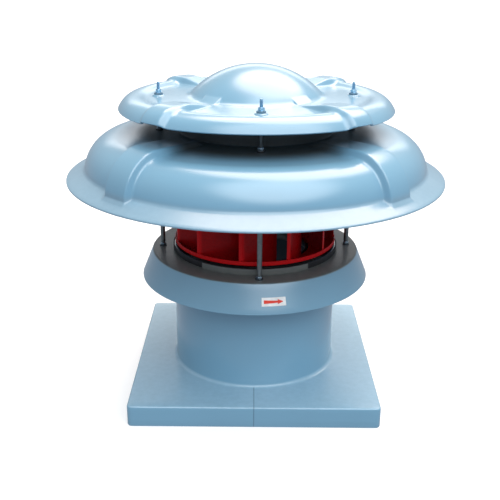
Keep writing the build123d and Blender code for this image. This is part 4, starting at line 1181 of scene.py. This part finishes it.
FLOOR_SIZE, FLOOR_GLOW = 60.0, 0.5
OVERHEAD, FRONT, BEHIND, AROUND = 5.4, 3.1, 1.7, 0.5  # strengths of the four soft areas of light
bpy.ops.mesh.primitive_plane_add(size=FLOOR_SIZE, location=(0, 0, -0.0006))
floor = bpy.context.object
floor.name = "floor"
plain_floor = Nodes("floor").set(Base_Color=(0.55, 0.56, 0.57, 1), Roughness=0.9, Specular_IOR_Level=0.2)
plain_floor.set(Emission_Color=(1, 1, 1, 1), Emission_Strength=FLOOR_GLOW)
floor.data.materials.append(plain_floor.material)
floor.visible_diffuse = floor.visible_glossy = False

world = bpy.data.worlds.new("studio")
bpy.context.scene.world = world
world.use_nodes = True
tree = world.node_tree
background = next(n for n in tree.nodes if n.type == "BACKGROUND")
direction = tree.nodes.new("ShaderNodeTexCoord").outputs["Generated"]


def glow(toward, stops):
    """Light that depends on how near the sky's direction is to this one: stops of (cosine, colour)."""
    dot = tree.nodes.new("ShaderNodeVectorMath")
    dot.operation = "DOT_PRODUCT"
    dot.inputs[1].default_value = Vector(toward).normalized()
    tree.links.new(direction, dot.inputs[0])
    ramp = tree.nodes.new("ShaderNodeValToRGB")
    ramp.color_ramp.interpolation = "EASE"
    elements = ramp.color_ramp.elements
    while len(elements) < len(stops):
        elements.new(0.5)
    for element, (cosine, tone) in zip(elements, stops):
        element.position = cosine
        element.color = (*tone, 1)
    tree.links.new(dot.outputs["Value"], ramp.inputs["Fac"])
    return ramp.outputs["Color"]


def both(a, b):
    """Light only where two glows meet."""
    node = tree.nodes.new("ShaderNodeVectorMath")
    node.operation = "MULTIPLY"
    tree.links.new(a, node.inputs[0])
    tree.links.new(b, node.inputs[1])
    return node.outputs[0]


def lit(*glows):
    """Glows, each with its strength, added together."""
    total = None
    for colour, strength in glows:
        scale = tree.nodes.new("ShaderNodeVectorMath")
        scale.operation = "SCALE"
        tree.links.new(colour, scale.inputs[0])
        scale.inputs["Scale"].default_value = strength
        if total is None:
            total = scale.outputs[0]
        else:
            add = tree.nodes.new("ShaderNodeVectorMath")
            tree.links.new(total, add.inputs[0])
            tree.links.new(scale.outputs[0], add.inputs[1])
            total = add.outputs[0]
    return total


dark, white = (0, 0, 0), (1, 1, 1)
overhead = glow((0.18, 0.40, 0.88), [(0.85, dark), (0.93, (1.0, 0.83, 0.72))])
front = glow((0.24, -0.72, 1.0), [(0.76, dark), (0.93, (0.95, 0.98, 1.0))])
level_band = glow((0, 0, 1), [(0.215, dark), (0.26, white), (0.36, white), (0.46, dark)])
behind = both(level_band, glow((0.02, 1, 0), [(0.84, dark), (0.91, white)]))
around_glow = glow((0, 0, 1), [(0.0, (0.75, 0.86, 1.0)), (0.6, white)])
sky = lit((overhead, OVERHEAD), (front, FRONT), (behind, BEHIND), (around_glow, AROUND))
tree.links.new(sky, background.inputs["Color"])
background.inputs["Strength"].default_value = 1.0
bpy.context.scene.view_settings.view_transform = "Standard"

CAMERA_PLACE = (-0.009, -1.944, 1.0586)
CAMERA_PITCH, CAMERA_YAW, CAMERA_ROLL = 20.38, 0.1, 0.45
CAMERA_LENS, SENSOR_WIDTH = 58.05, 36.0
camera_data = bpy.data.cameras.new("camera")
camera_data.sensor_width = SENSOR_WIDTH
camera_data.lens = CAMERA_LENS
camera = bpy.data.objects.new("camera", camera_data)
bpy.context.scene.collection.objects.link(camera)
camera.matrix_world = (
    Matrix.Translation(CAMERA_PLACE)
    @ Matrix.Rotation(radians(CAMERA_YAW), 4, "Z")
    @ Matrix.Rotation(radians(90 - CAMERA_PITCH), 4, "X")
    @ Matrix.Rotation(radians(CAMERA_ROLL), 4, "Z")
)
bpy.context.scene.camera = camera
